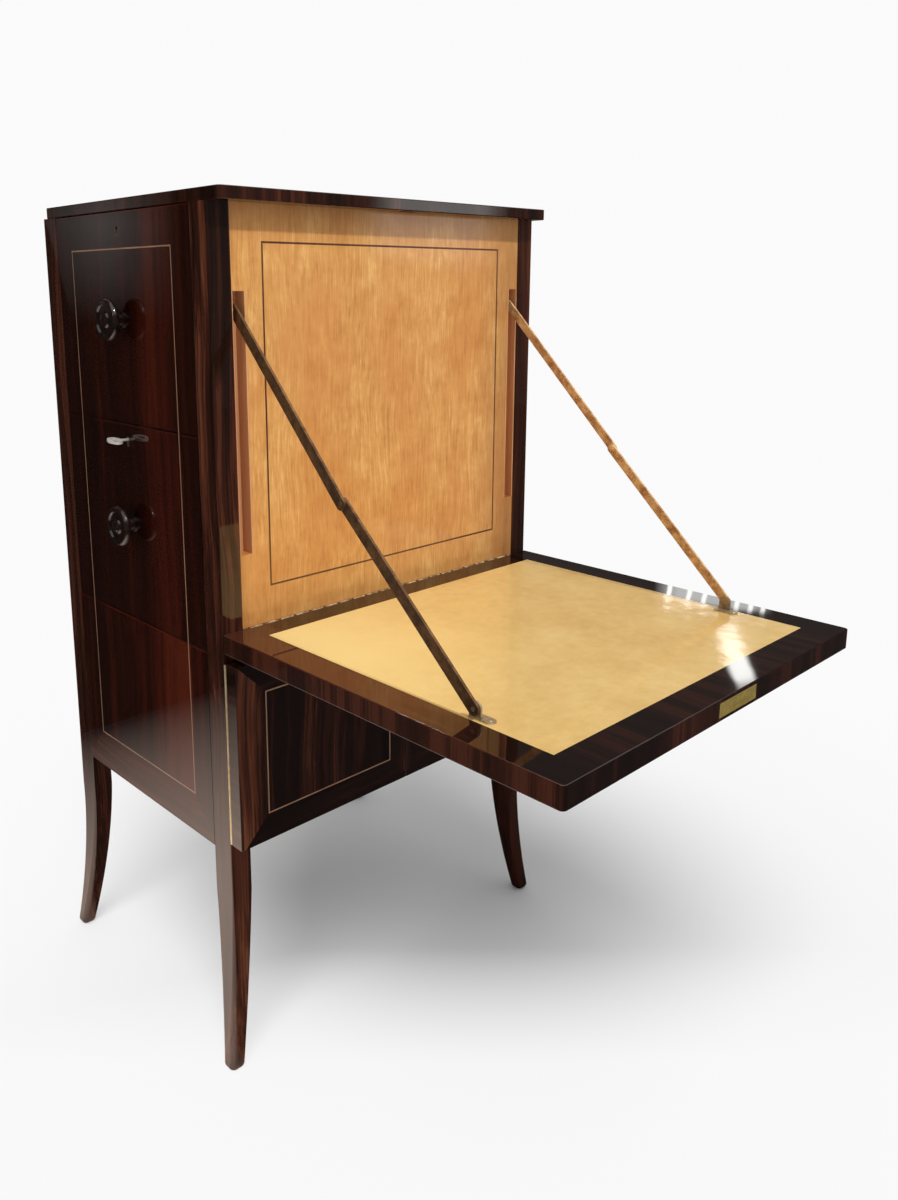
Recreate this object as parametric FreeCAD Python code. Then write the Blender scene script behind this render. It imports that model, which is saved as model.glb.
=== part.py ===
"""Drop-front writing desk on four sabre legs, built as separate pieces.

Lengths are in millimetres. The desk is drawn with X to the right along its front, Y to the back
from the front plane of its posts, and Z up from the floor. The finished pieces are then moved
so that the origin lies on the floor under the middle of the whole desk's box.
"""
import os
from math import acos, asin, atan2, cos, degrees, hypot, sin, sqrt

import FreeCAD
import Part
from FreeCAD import Placement, Rotation, Vector

# Carcass
carcass_width = 700.0
carcass_depth = 510.0
total_height = 1375.0
carcass_bottom = 370.0
top_thickness = 18.0
top_front_overhang = 31.0
top_rear_setback = 13.0
top_edge_radius = 1.5
top_corner_radius = 8.0
side_panel_thickness = 20.0
back_panel_thickness = 15.0
back_panel_inset = 16.0
bottom_board_thickness = 21.0
deck_thickness = 18.0
deck_step = 5.5
divider_thickness = 16.0

# Posts and legs
post_width = 37.0
post_depth = 46.0
post_arris = 1.5
knee_height = 300.0
foot_side = 28.0
foot_corner_radius = 10.0
foot_end_radius = 8.0
foot_shift_x = 30.0
foot_shift_y = 27.0
leg_section_shares = (0.0, 0.2, 0.4, 0.6, 0.8, 1.0)
flare_power = 1.8

# Strings let into the veneer
string_width = 2.2
interior_string_width = 3.0
string_depth = 1.5
side_string_front = 51.0
side_string_rear = 53.0
side_string_bottom = 68.0
side_string_top = 56.0
door_string_outer = 52.5
door_string_inner = 37.0
door_string_bottom = 45.0
door_string_top = 50.0
interior_string_side = 54.0
interior_string_bottom = 56.0
interior_string_top = 52.0
fall_string_margin = 50.0

# Flap that makes the writing surface
writing_height = 735.0
fall_thickness = 30.0
fall_top_gap = 1.8
fall_arris = 1.2
fall_corner_radius = 7.0
sheet_side_border = 49.0
sheet_rear_border = 47.5
sheet_front_border = 51.0
sheet_thickness = 1.5

# Piano hinges
barrel_radius = 2.4
barrel_clearance = 0.3
barrel_rise = 1.2
hinge_pin_radius = 1.2
running_clearance = 0.05
leaf_thickness = 0.9
leaf_width = 14.0
leaf_gap = 0.2
knuckle_gap = 0.2
fall_hinge_end_inset = 45.0
fall_knuckles = 20
door_knuckles = 10
door_hinge_end_inset = 2.0
door_barrel_inset = 1.0

# Doors
door_thickness = 29.0
door_bottom_reveal = 21.0
door_top_gap = 15.0
door_meeting_gap = 2.0
door_arris = 1.2

# Interior panel with the slots that take the folded stays
interior_recess = 2.0
interior_thickness = 22.0
slot_width = 24.0
slot_head_room = 26.2
slot_foot_room = 20.8
lining_thickness = 2.0

# Folding stays
stay_pivot_share = 0.7644
stay_foot_share = 0.7242
stay_pivot_offset = 15.5
left_stay_sag = 13.0
left_link_width = 17.0
right_stay_sag = 3.0
right_link_width = 14.0
link_thickness = 4.0
link_gap = 0.4
rivet_radius = 3.0
rivet_head_radius = 5.0
rivet_head_height = 1.3
rivet_seat_depth = 5.0
lug_thickness = 3.0
lug_width = 20.0
lug_top_margin = 9.0
lug_to_lining = 2.0
foot_plate_front = 25.0
foot_plate_rear = 11.0
foot_plate_width = 15.0
foot_plate_thickness = 2.0

# Drawers
drawer_gap = 1.0
drawer_front_thickness = 20.0
drawer_arris = 0.8
tray_side_gap = 6.0
tray_wall = 12.0
tray_bottom_thickness = 6.0
tray_bottom_rise = 8.0
tray_back_gap = 40.0
tray_top_gap = 8.0
slide_gap = 0.3
guide_height = 20.0
board_end_gap = 0.5

# Turned knobs
knob_radius = 33.0
knob_base_radius = 14.0
knob_base_height = 3.0
knob_neck_radius = 10.0
knob_disc_back = 18.0
knob_disc_thickness = 13.0
knob_dish_depth = 3.0
knob_dish_outer_share = 0.74
knob_dish_inner_share = 0.42
knob_ring_slope_share = 0.06
knob_button_share = 0.3
knob_button_height = 3.5

# Locks, keyholes and key
keyhole_drop = 25.0
keyhole_radius = 3.2
keyhole_slot_width = 3.4
keyhole_slot_drop = 10.0
thread_width = 1.6
thread_depth = 1.5
lock_width = 60.0
lock_height = 40.0
lock_thickness = 12.0
lock_chamber_radius = 9.5
lock_chamber_depth = 7.5
bolt_width = 30.0
bolt_height = 20.0
bolt_thickness = 2.6
bolt_travel = 6.0
bolt_clearance = 0.3
mortise_clearance = 1.5
key_shank_radius = 2.2
key_stand_off = 12.0
key_bow_width = 33.0
key_bow_length = 22.0
key_bow_ring = 5.0
key_bow_thickness = 4.0
key_bit_length = 5.5
key_bit_reach = 8.0
key_bit_thickness = 2.4
key_end_gap = 0.6
key_lean = 7.0
fall_lock_shift = 15.0
fall_plate_width = 94.0
fall_plate_height = 20.0
fall_plate_thickness = 2.0
fall_lock_width = 64.0
fall_lock_height = 14.0
fall_lock_depth = 44.0
fall_bolt_height = 6.0
fall_bolt_length = 26.0
fall_bolt_travel = 8.0
door_lock_width = 36.0
door_lock_height = 60.0
door_lock_thickness = 14.0
door_bolt_height = 26.0
door_bolt_length = 18.0
door_bolt_thickness = 6.0

# How far a cutting tool runs past the face that it cuts
overrun = 5.0
# How near to a plane an edge lies to count as in it
plane_tolerance = 0.01

half_width = carcass_width / 2
inner_x = half_width - post_width
top_underside = total_height - top_thickness
rear_inner_y = carcass_depth - post_depth
back_inner_y = carcass_depth - back_panel_inset - back_panel_thickness
barrel_room = barrel_radius + barrel_clearance
axis_out = barrel_room
leaf_seat = leaf_thickness + leaf_gap
fall_axis_z = writing_height - barrel_rise
fall_rear = -leaf_seat
fall_reach = top_underside - fall_top_gap - fall_axis_z
fall_front = -axis_out - fall_reach
fall_underside = writing_height - fall_thickness
fall_hinge_length = carcass_width - 2 * fall_hinge_end_inset
door_bottom = carcass_bottom + door_bottom_reveal
door_top = fall_underside - door_top_gap
deck_bottom = door_top + deck_step
divider_bottom = (deck_bottom + top_underside) / 2
stay_pivot_rise = fall_reach * stay_pivot_share
stay_foot_reach = fall_reach * stay_foot_share
door_rear = -leaf_seat
door_front = door_rear - door_thickness
door_edge = door_meeting_gap / 2
interior_rear = interior_recess + interior_thickness
slot_inner_x = inner_x - slot_width
drawer_middle = (post_depth + rear_inner_y) / 2
tray_front_y = post_depth + tray_side_gap
tray_rear_y = rear_inner_y - tray_side_gap
drawer_inner_x = -half_width + drawer_front_thickness
panel_inner_x = half_width - side_panel_thickness
tray_rear_x = panel_inner_x - tray_back_gap
knob_reach = knob_disc_back + knob_disc_thickness + knob_button_height
key_reach = key_stand_off + key_bow_length
fall_lock_z = writing_height - fall_thickness / 2

X_AXIS = Vector(1, 0, 0)
Y_AXIS = Vector(0, 1, 0)
Z_AXIS = Vector(0, 0, 1)
MIDDLE = Vector(0, 0, 0)

# The two drawers: the height of the board under each and of the board over it
drawer_levels = {
    "upper": (divider_bottom, divider_thickness, top_underside),
    "lower": (deck_bottom, deck_thickness, divider_bottom),
}


def box(x_pair, y_pair, z_pair):
    """A block between two X, two Y and two Z places."""
    low = Vector(min(x_pair), min(y_pair), min(z_pair))
    high = Vector(max(x_pair), max(y_pair), max(z_pair))
    size = high - low
    return Part.makeBox(size.x, size.y, size.z, low)


def rod(radius, start, end):
    """A round bar from one point to another."""
    along = end - start
    return Part.makeCylinder(radius, along.Length, start, along)


def fused(shapes):
    """One solid from several that touch or overlap."""
    shape = shapes[0]
    if len(shapes) > 1:
        shape = shape.fuse(shapes[1:])
    return shape.removeSplitter()


def mirrored(shape):
    """The same piece on the other side of the desk."""
    return shape.mirror(MIDDLE, X_AXIS)


def eased(shape, radius, picks):
    """The piece with the straight edges that picks accepts rounded over."""
    edges = [edge for edge in shape.Edges if picks(edge)]
    return shape.makeFillet(radius, edges)


def edge_ends(edge):
    return edge.Vertexes[0].Point, edge.Vertexes[-1].Point


def on_plane(axis, place):
    """Accepts edges that lie in the plane where one coordinate has the given value."""
    def picks(edge):
        return all(abs(getattr(point, axis) - place) < plane_tolerance for point in edge_ends(edge))
    return picks


def on_upright(y):
    """Accepts the upright edges of a board at its front or rear."""
    def picks(edge):
        start, end = edge_ends(edge)
        return on_plane("y", y)(edge) and abs(start.x - end.x) < plane_tolerance
    return picks


def rounded_board(x_pair, y_pair, z_pair, corner_radius, edge_radius):
    """A level board with round front corners and slightly rounded edges."""
    board = box(x_pair, y_pair, z_pair)
    board = eased(board, corner_radius, on_upright(min(y_pair)))
    board = eased(board, edge_radius, on_upright(max(y_pair)))
    on_faces = [on_plane("z", z) for z in z_pair]
    return eased(board, edge_radius, lambda edge: any(picks(edge) for picks in on_faces))


# Strings

def string_strips(low_u, high_u, low_v, high_v, width):
    """The four strips of a string rectangle, as pairs of places in its plane."""
    return (
        ((low_u, high_u), (low_v, low_v + width)),
        ((low_u, high_u), (high_v - width, high_v)),
        ((low_u, low_u + width), (low_v, high_v)),
        ((high_u - width, high_u), (low_v, high_v)),
    )


def side_string(face_x, inward):
    """The string rectangle in a side of the desk."""
    reach = (face_x, face_x + inward * string_depth)
    strips = string_strips(
        post_depth + side_string_front, rear_inner_y - side_string_rear,
        carcass_bottom + side_string_bottom, top_underside - side_string_top, string_width)
    return fused([box(reach, u, v) for u, v in strips])


def front_string(face_y, low_x, high_x, low_z, high_z, width):
    """A string rectangle in a face that looks to the front."""
    reach = (face_y, face_y + string_depth)
    strips = string_strips(low_x, high_x, low_z, high_z, width)
    return fused([box(u, reach, v) for u, v in strips])


def fall_string():
    """The string rectangle in the outer face of the flap, which looks down when it is open."""
    reach = (fall_underside, fall_underside + string_depth)
    side = half_width - fall_string_margin
    strips = string_strips(
        -side, side, fall_front + fall_string_margin, fall_rear - fall_string_margin, string_width)
    return fused([box(u, v, reach) for u, v in strips])


def door_string():
    """The string rectangle in the left door."""
    return front_string(
        door_front, -half_width + door_string_outer, -door_string_inner,
        door_bottom + door_string_bottom, door_top - door_string_top, string_width)


def interior_string():
    """The dark string rectangle in the interior panel."""
    side = inner_x - interior_string_side
    return front_string(
        interior_recess, -side, side,
        writing_height + interior_string_bottom, top_underside - interior_string_top,
        interior_string_width)


# Carcass

def rounded_outline(middle_x, middle_y, height, size_x, size_y, radius):
    """A level rectangle with round corners, as a wire."""
    far_x, far_y = size_x / 2, size_y / 2
    near_x, near_y = far_x - radius, far_y - radius
    bend = radius / sqrt(2)
    edges = []
    corners = ((1, 1), (-1, 1), (-1, -1), (1, -1))
    places = []
    for side_x, side_y in corners:
        on_x = Vector(middle_x + side_x * far_x, middle_y + side_y * near_y, height)
        on_y = Vector(middle_x + side_x * near_x, middle_y + side_y * far_y, height)
        bulge = Vector(middle_x + side_x * (near_x + bend), middle_y + side_y * (near_y + bend), height)
        places.append((on_x, bulge, on_y) if side_x == side_y else (on_y, bulge, on_x))
    for index, (start, bulge, end) in enumerate(places):
        edges.append(Part.Arc(start, bulge, end).toShape())
        following = places[(index + 1) % len(places)][0]
        edges.append(Part.LineSegment(end, following).toShape())
    return Part.Wire(edges)


def leg(side_x, is_front):
    """A corner post that runs down into a sabre leg."""
    middle_x = side_x * (half_width - post_width / 2)
    side_y = -1 if is_front else 1
    middle_y = post_depth / 2 if is_front else carcass_depth - post_depth / 2
    outlines = []
    for share in leg_section_shares:
        flare = share ** flare_power
        outlines.append(rounded_outline(
            middle_x + side_x * foot_shift_x * flare, middle_y + side_y * foot_shift_y * flare,
            knee_height * (1 - share),
            post_width + (foot_side - post_width) * share, post_depth + (foot_side - post_depth) * share,
            post_arris + (foot_corner_radius - post_arris) * share))
    sabre = Part.makeLoft(outlines, True, False)
    sabre = eased(sabre, foot_end_radius, on_plane("z", 0))
    post = Part.Face(outlines[0]).extrude(Vector(0, 0, top_underside - knee_height))
    return fused([post, sabre])


def front_leg(side_x):
    """A front leg, with the seat for the pivot pin of its stay."""
    seat = rod(rivet_radius + running_clearance, *stay_pivot_ends(side_x, overrun))
    return leg(side_x, True).cut(seat)


def drawer_lock_mortise(level):
    """The space that a drawer's bolt needs in the board above it."""
    under = drawer_levels[level][2]
    side = bolt_width / 2 + mortise_clearance
    near_x, far_x = bolt_places()
    return box(
        (near_x - mortise_clearance, far_x + mortise_clearance),
        (drawer_middle - side, drawer_middle + side),
        (under - overrun, under + bolt_travel + mortise_clearance))


def fall_lock_mortise():
    """The space that the flap's bolt needs in the top when the flap is shut."""
    shut_y = -axis_out + fall_lock_z - fall_axis_z
    side_x = bolt_width / 2 + mortise_clearance
    side_y = fall_bolt_height / 2 + mortise_clearance
    return box(
        (fall_lock_shift - side_x, fall_lock_shift + side_x), (shut_y - side_y, shut_y + side_y),
        (top_underside - overrun, top_underside + fall_bolt_travel + mortise_clearance))


def top_board():
    board = rounded_board(
        (-half_width, half_width), (-top_front_overhang, carcass_depth - top_rear_setback),
        (top_underside, total_height), top_corner_radius, top_edge_radius)
    return board.cut([fall_lock_mortise(), drawer_lock_mortise("upper")])


def side_panel(side_x, high_z):
    """A plain panel between the posts on one side of the desk."""
    reach = (side_x * panel_inner_x, side_x * half_width)
    return box(reach, (post_depth, rear_inner_y), (carcass_bottom, high_z))


def plain_left_panel():
    """The panel under the drawers, before its string is let in."""
    return side_panel(-1, deck_bottom - drawer_gap)


def left_lower_panel():
    return plain_left_panel().cut(side_string(-half_width, 1))


def left_panel_string():
    return plain_left_panel().common(side_string(-half_width, 1))


def right_side_panel():
    return side_panel(1, top_underside).cut(side_string(half_width, -1))


def back_panel():
    rear = back_inner_y + back_panel_thickness
    return box((-inner_x, inner_x), (back_inner_y, rear), (carcass_bottom, top_underside))


def level_board(low_x, low_z, thickness):
    """A level board between the side panels that reaches back between the rear posts."""
    heights = (low_z, low_z + thickness)
    middle = box((low_x, panel_inner_x), (post_depth, rear_inner_y), heights)
    rear = box((-inner_x, inner_x), (rear_inner_y, back_inner_y), heights)
    return fused([middle, rear])


def bottom_board():
    """The cupboard's floor, which comes forward between the front posts."""
    heights = (carcass_bottom, carcass_bottom + bottom_board_thickness)
    front = box((-inner_x, inner_x), (0, post_depth), heights)
    return fused([level_board(-panel_inner_x, carcass_bottom, bottom_board_thickness), front])


def deck():
    return level_board(drawer_inner_x + board_end_gap, deck_bottom, deck_thickness)


def drawer_divider():
    board = level_board(drawer_inner_x + board_end_gap, divider_bottom, divider_thickness)
    return board.cut(drawer_lock_mortise("lower"))


def front_rail():
    """The rail between the flap and the doors, which carries the flap's hinge."""
    return box((-inner_x, inner_x), (0, post_depth), (door_top, fall_axis_z))


def interior_panel():
    panel = box((-slot_inner_x, slot_inner_x), (interior_recess, interior_rear), (fall_axis_z, top_underside))
    return panel.cut(interior_string())


def slot_heights():
    """The bottom and top of a stay slot, which takes both folded links."""
    pivot_height = stay_pivot()[1]
    upper_length = link_lengths(left_stay_sag)[0]
    return pivot_height - upper_length - slot_foot_room, pivot_height + slot_head_room


def slot_fillers():
    """The blocks above and below the two stay slots, flush with the interior panel."""
    blocks = []
    slot_bottom, slot_top = slot_heights()
    for low, high in ((fall_axis_z, slot_bottom), (slot_top, top_underside)):
        block = box((slot_inner_x, inner_x), (interior_recess, interior_rear), (low, high))
        blocks += [block, mirrored(block)]
    return Part.makeCompound(blocks)


def slot_linings():
    """Thin boards on the two walls and the back of each stay slot."""
    heights = slot_heights()
    depths = (interior_recess, interior_rear)
    inner = box((slot_inner_x, slot_inner_x + lining_thickness), depths, heights)
    outer = box((inner_x - lining_thickness, inner_x), depths, heights)
    outer = outer.cut(rod(rivet_radius + running_clearance, *stay_pivot_ends(1, overrun)))
    rear = box((slot_inner_x, inner_x), (interior_rear, interior_rear + lining_thickness), heights)
    boards = [inner, outer, rear]
    return Part.makeCompound(boards + [mirrored(board) for board in boards])


def drawer_guides():
    """Strips on the boards that keep each drawer straight, one on each side of it."""
    strips = []
    for low, thickness, _ in drawer_levels.values():
        heights = (low + thickness, low + thickness + guide_height)
        lengths = (-inner_x, panel_inner_x)
        strips.append(box(lengths, (post_depth, tray_front_y - slide_gap), heights))
        strips.append(box(lengths, (tray_rear_y + slide_gap, rear_inner_y), heights))
    return Part.makeCompound(strips)


# Piano hinges. Drawn along X with the pin on the X axis, the carcass at +Y and both leaves folded
# together and hanging down.

def knuckle_spans(length, count):
    """Where each knuckle starts and ends along the pin."""
    pitch = length / count
    return [(pitch * i + knuckle_gap / 2, pitch * (i + 1) - knuckle_gap / 2) for i in range(count)]


def hinge_leaf(length, count, is_moving):
    """One leaf with every second knuckle."""
    outer_y = axis_out - (leaf_seat if is_moving else 0)
    plate_y = (outer_y - leaf_thickness, outer_y)
    pieces = [box((0, length), plate_y, (-leaf_width, -barrel_room))]
    first = 1 if is_moving else 0
    for start, end in knuckle_spans(length, count)[first::2]:
        pieces.append(rod(barrel_radius, Vector(start, 0, 0), Vector(end, 0, 0)))
        pieces.append(box((start, end), plate_y, (-barrel_room, 0)))
    bore = rod(hinge_pin_radius + running_clearance, Vector(-overrun, 0, 0), Vector(length + overrun, 0, 0))
    return fused(pieces).cut(bore)


def hinge_pin(length):
    return rod(hinge_pin_radius, Vector(0, 0, 0), Vector(length, 0, 0))


def at_fall(shape):
    """Moves a hinge piece to the line between the flap and the front rail."""
    return shape.translated(Vector(-fall_hinge_length / 2, -axis_out, fall_axis_z))


def door_axis_x():
    return half_width - door_barrel_inset


def door_hinge_length():
    return door_top - door_bottom - 2 * door_hinge_end_inset


def at_left_door(shape):
    """Stands a hinge piece up at the outer edge of the left door."""
    place = Vector(-door_axis_x(), -axis_out, door_bottom + door_hinge_end_inset)
    moved = shape.copy()
    moved.Placement = Placement(place, Rotation(Y_AXIS, -90))
    return moved


# Flap

def fall_hinge_cuts():
    """Room in the flap for the hinge barrel, and the seat of its leaf."""
    side = fall_hinge_length / 2
    lengths = (-side - barrel_clearance, side + barrel_clearance)
    room = box(
        lengths, (-axis_out - barrel_room, fall_rear + overrun),
        (fall_axis_z - barrel_room, writing_height + overrun))
    seat = box(
        (-side, side), (fall_rear - leaf_thickness, fall_rear + overrun),
        (fall_axis_z - leaf_width, fall_axis_z - barrel_room))
    return [room, seat]


def writing_surface():
    side = half_width - sheet_side_border
    return box(
        (-side, side), (fall_front + sheet_front_border, fall_rear - sheet_rear_border),
        (writing_height - sheet_thickness, writing_height))


def fall_lock_block(width, height, start, depth):
    """A block let into the front edge of the flap around its lock's middle."""
    return box(
        (fall_lock_shift - width / 2, fall_lock_shift + width / 2), (fall_front + start, fall_front + depth),
        (fall_lock_z - height / 2, fall_lock_z + height / 2))


def fall_bolt_room():
    return fall_lock_block(
        bolt_width + 2 * bolt_clearance, fall_bolt_height + 2 * bolt_clearance,
        -overrun, fall_bolt_length + bolt_clearance)


def fall_keyhole():
    """The keyhole from the outer face of the flap up into its lock."""
    return Vector(fall_lock_shift, fall_front + keyhole_drop, fall_underside)


def fall_lock():
    plate = fall_lock_block(fall_plate_width, fall_plate_height, 0, fall_plate_thickness)
    case = fall_lock_block(fall_lock_width, fall_lock_height, fall_plate_thickness, fall_lock_depth)
    post_hole = rod(
        keyhole_radius, fall_keyhole(), Vector(fall_keyhole().x, fall_keyhole().y, fall_lock_z))
    return fused([plate, case]).cut([fall_bolt_room(), post_hole])


def fall_lock_bolt():
    return fall_lock_block(bolt_width, fall_bolt_height, bolt_clearance, fall_bolt_length)


def keyhole(radius_extra, length):
    """A keyhole drawn along Z with its slot toward -Y, from the origin up."""
    radius = keyhole_radius + radius_extra
    side = keyhole_slot_width / 2 + radius_extra
    round_part = Part.makeCylinder(radius, length)
    slot = box((-side, side), (-keyhole_slot_drop - radius_extra, 0), (0, length))
    return fused([round_part, slot])


def keyhole_thread():
    """The thin brass lining of a keyhole, drawn like the keyhole."""
    return keyhole(thread_width, thread_depth).cut(keyhole(0, thread_depth))


def at_fall_keyhole(shape):
    turned = shape.copy()
    turned.Placement = Placement(fall_keyhole(), Rotation(Z_AXIS, 180))
    return turned


def fall_panel():
    panel = rounded_board(
        (-half_width, half_width), (fall_front, fall_rear), (fall_underside, writing_height),
        fall_corner_radius, fall_arris)
    lock_depth = fall_lock_z - fall_lock_height / 2 - fall_underside
    cuts = fall_hinge_cuts() + [
        writing_surface(), fall_string(),
        fall_lock_block(fall_plate_width, fall_plate_height, -overrun, fall_plate_thickness),
        fall_lock_block(fall_lock_width, fall_lock_height, 0, fall_lock_depth),
        at_fall_keyhole(keyhole(0, lock_depth)), at_fall_keyhole(keyhole(thread_width, thread_depth))]
    return panel.cut(cuts)


# Folding stays. With the flap shut both links of a stay hang straight down in their slot, one
# beside the other, so the two pivots lie equally far behind the flap's hinge line then. With the
# flap open the right-hand stay is almost straight, and the left-hand one sags a little.

def stay_lug_x():
    """The inner and outer face of the bracket's lug."""
    inner = slot_inner_x + lining_thickness + lug_to_lining
    return inner, inner + lug_thickness


def lower_link_x():
    inner = stay_lug_x()[1] + link_gap
    return inner, inner + link_thickness


def upper_link_x():
    inner = lower_link_x()[1] + link_gap
    return inner, inner + link_thickness


def stay_pivot():
    """The upper pivot of a stay, as its Y and Z."""
    return stay_pivot_offset - axis_out, fall_axis_z + stay_pivot_rise


def stay_foot():
    """The lower pivot of a stay on the open flap, as its Y and Z."""
    return -axis_out - stay_foot_reach, fall_axis_z + stay_pivot_offset


def stay_span():
    """The distance between a stay's pivots with the flap open."""
    return hypot(stay_pivot()[0] - stay_foot()[0], stay_pivot()[1] - stay_foot()[1])


def link_lengths(sag):
    """Both links together span the open stay and sag a little at the knuckle; folded, they end at
    the same two pivots."""
    total = stay_span() + 2 * sag ** 2 / stay_span()
    difference = stay_pivot_rise - stay_foot_reach
    return (total + difference) / 2, (total - difference) / 2


def link_angles(sag):
    """How far each link turns from hanging down (upper) or from lying along the flap (lower)."""
    upper, lower = link_lengths(sag)
    span = stay_span()
    at_pivot = degrees(acos((upper ** 2 + span ** 2 - lower ** 2) / (2 * upper * span)))
    at_foot = degrees(acos((lower ** 2 + span ** 2 - upper ** 2) / (2 * lower * span)))
    slope = degrees(atan2(stay_pivot()[0] - stay_foot()[0], stay_pivot()[1] - stay_foot()[1]))
    return slope - at_pivot, 90 - slope - at_foot


def stay_pivot_ends(side_x, extra):
    """The two ends of the pin that carries a stay, from inside the post to the link."""
    y, z = stay_pivot()
    return (
        Vector(side_x * (inner_x + rivet_seat_depth), y, z),
        Vector(side_x * (upper_link_x()[0] - extra), y, z))


def stay_pivot_pins():
    pins = []
    for side_x in (-1, 1):
        start, end = stay_pivot_ends(side_x, link_gap / 2)
        head_end = end - Vector(side_x * rivet_head_height, 0, 0)
        pins.append(fused([rod(rivet_radius, start, end), rod(rivet_head_radius, end, head_end)]))
    return Part.makeCompound(pins)


def link_bar(length, width, x_pair):
    """A flat bar with round ends that hangs down from a hole on the X axis."""
    low, high = x_pair
    side = width / 2
    bar = box(x_pair, (-side, side), (-length, 0))
    ends = [rod(side, Vector(low, 0, place), Vector(high, 0, place)) for place in (0, -length)]
    hole = rod(rivet_radius + running_clearance, Vector(low - overrun, 0, 0), Vector(high + overrun, 0, 0))
    return fused([bar] + ends).cut(hole)


def knuckle_head(length, face_x, outward):
    """The rivet head on the outer side of a link's free end."""
    start = Vector(face_x, 0, -length)
    return rod(rivet_head_radius, start, start + Vector(outward * rivet_head_height, 0, 0))


def placed_link(shape, pivot, turn):
    """Turns a hanging link about its hole and moves it to its pivot."""
    moved = shape.copy()
    moved.Placement = Placement(Vector(0, pivot[0], pivot[1]), Rotation(X_AXIS, turn))
    return moved


def upper_link(sag, width):
    length = link_lengths(sag)[0]
    head = knuckle_head(length, upper_link_x()[1], 1)
    bar = fused([link_bar(length, width, upper_link_x()), head])
    return placed_link(bar, stay_pivot(), -link_angles(sag)[0])


def lower_link(sag, width):
    length = link_lengths(sag)[1]
    head = knuckle_head(length, lower_link_x()[0], -1)
    bar = fused([link_bar(length, width, lower_link_x()), head])
    return placed_link(bar, stay_foot(), 90 + link_angles(sag)[1])


def stay_bracket():
    """The angle on the flap that the right-hand stay is riveted to, with its rivet."""
    y, z = stay_foot()
    inner, outer = stay_lug_x()
    side = lug_width / 2
    lug = box((inner, outer), (y - side, y + side), (writing_height, z - lug_top_margin))
    crown = rod(lug_top_margin, Vector(inner, y, z), Vector(outer, y, z))
    crown_block = box((inner, outer), (y - lug_top_margin, y + lug_top_margin), (writing_height, z))
    tongue_side = foot_plate_width / 2
    tongue_y = y - foot_plate_front + tongue_side
    plate_heights = (writing_height, writing_height + foot_plate_thickness)
    plate = box((outer - foot_plate_width, outer), (tongue_y, y + foot_plate_rear), plate_heights)
    tongue_end = rod(
        tongue_side, *[Vector(outer - tongue_side, tongue_y, height) for height in plate_heights])
    rivet = rod(rivet_radius, Vector(inner, y, z), Vector(lower_link_x()[1], y, z))
    head = rod(rivet_head_radius, Vector(inner, y, z), Vector(inner - rivet_head_height, y, z))
    return fused([lug, crown_block, crown, plate, tongue_end, rivet, head])


def stay_brackets():
    return Part.makeCompound([stay_bracket(), mirrored(stay_bracket())])


# Doors

def door_hinge_cuts():
    """Room in the left door for the hinge barrel, and the seat of its leaf."""
    low = door_bottom + door_hinge_end_inset
    high = low + door_hinge_length()
    room_x = -door_axis_x() + barrel_room
    room = box(
        (-half_width - overrun, room_x), (-axis_out - barrel_room, door_rear + overrun),
        (low - barrel_clearance, high + barrel_clearance))
    seat = box(
        (room_x, -door_axis_x() + leaf_width), (door_rear - leaf_thickness, door_rear + overrun), (low, high))
    return [room, seat]


def door_lock_block(start, length, height, low_y, high_y):
    """A block in the left door that starts a given way in from its meeting edge."""
    middle = (door_bottom + door_top) / 2
    return box(
        (-door_edge - start - length, -door_edge - start), (low_y, high_y),
        (middle - height / 2, middle + height / 2))


def door_bolt_y():
    """The front and rear face of the door's bolt."""
    middle = door_rear - door_lock_thickness / 2
    return middle - door_bolt_thickness / 2, middle + door_bolt_thickness / 2


def door_bolt_room():
    low_y, high_y = door_bolt_y()
    return door_lock_block(
        -overrun, overrun + door_bolt_length + bolt_clearance, door_bolt_height + 2 * bolt_clearance,
        low_y - bolt_clearance, high_y + bolt_clearance)


def door_keyhole(radius_extra, length):
    """The keyhole in the left door, over its lock."""
    middle = (door_bottom + door_top) / 2
    moved = keyhole(radius_extra, length)
    moved.Placement = Placement(
        Vector(-door_edge - keyhole_drop, door_front, middle),
        Rotation(X_AXIS.negative(), Z_AXIS, Y_AXIS, "ZXY"))
    return moved


def door_lock():
    case = door_lock_block(0, door_lock_width, door_lock_height, door_rear - door_lock_thickness, door_rear)
    return case.cut(door_bolt_room())


def door_lock_bolt():
    low_y, high_y = door_bolt_y()
    return door_lock_block(bolt_clearance, door_bolt_length, door_bolt_height, low_y, high_y)


def plain_door():
    """The left door before the cuts that only one of the doors has."""
    door = box((-half_width, -door_edge), (door_front, door_rear), (door_bottom, door_top))
    door = door.makeFillet(door_arris, door.Edges)
    return door.cut(door_hinge_cuts() + [door_string()])


def left_door_panel():
    case_room = door_lock_block(
        -overrun, overrun + door_lock_width, door_lock_height, door_rear - door_lock_thickness,
        door_rear + overrun)
    hole_depth = door_thickness - door_lock_thickness
    return plain_door().cut([case_room, door_keyhole(0, hole_depth)])


def right_door_panel():
    low_y, high_y = door_bolt_y()
    reach = bolt_travel + mortise_clearance
    middle = (door_bottom + door_top) / 2
    side = door_bolt_height / 2 + mortise_clearance
    mortise = box(
        (door_edge - overrun, door_edge + reach), (low_y - mortise_clearance, high_y + mortise_clearance),
        (middle - side, middle + side))
    return mirrored(plain_door()).cut(mortise)


# Drawers

def drawer_front_board(level):
    """A drawer's front before its string and keyhole are cut."""
    board = box(
        (-half_width, drawer_inner_x), (post_depth + drawer_gap, rear_inner_y - drawer_gap),
        (drawer_levels[level][0], drawer_top(level)))
    return eased(board, drawer_arris, on_plane("x", -half_width))


def drawer_top(level):
    return drawer_levels[level][2] - drawer_gap


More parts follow.
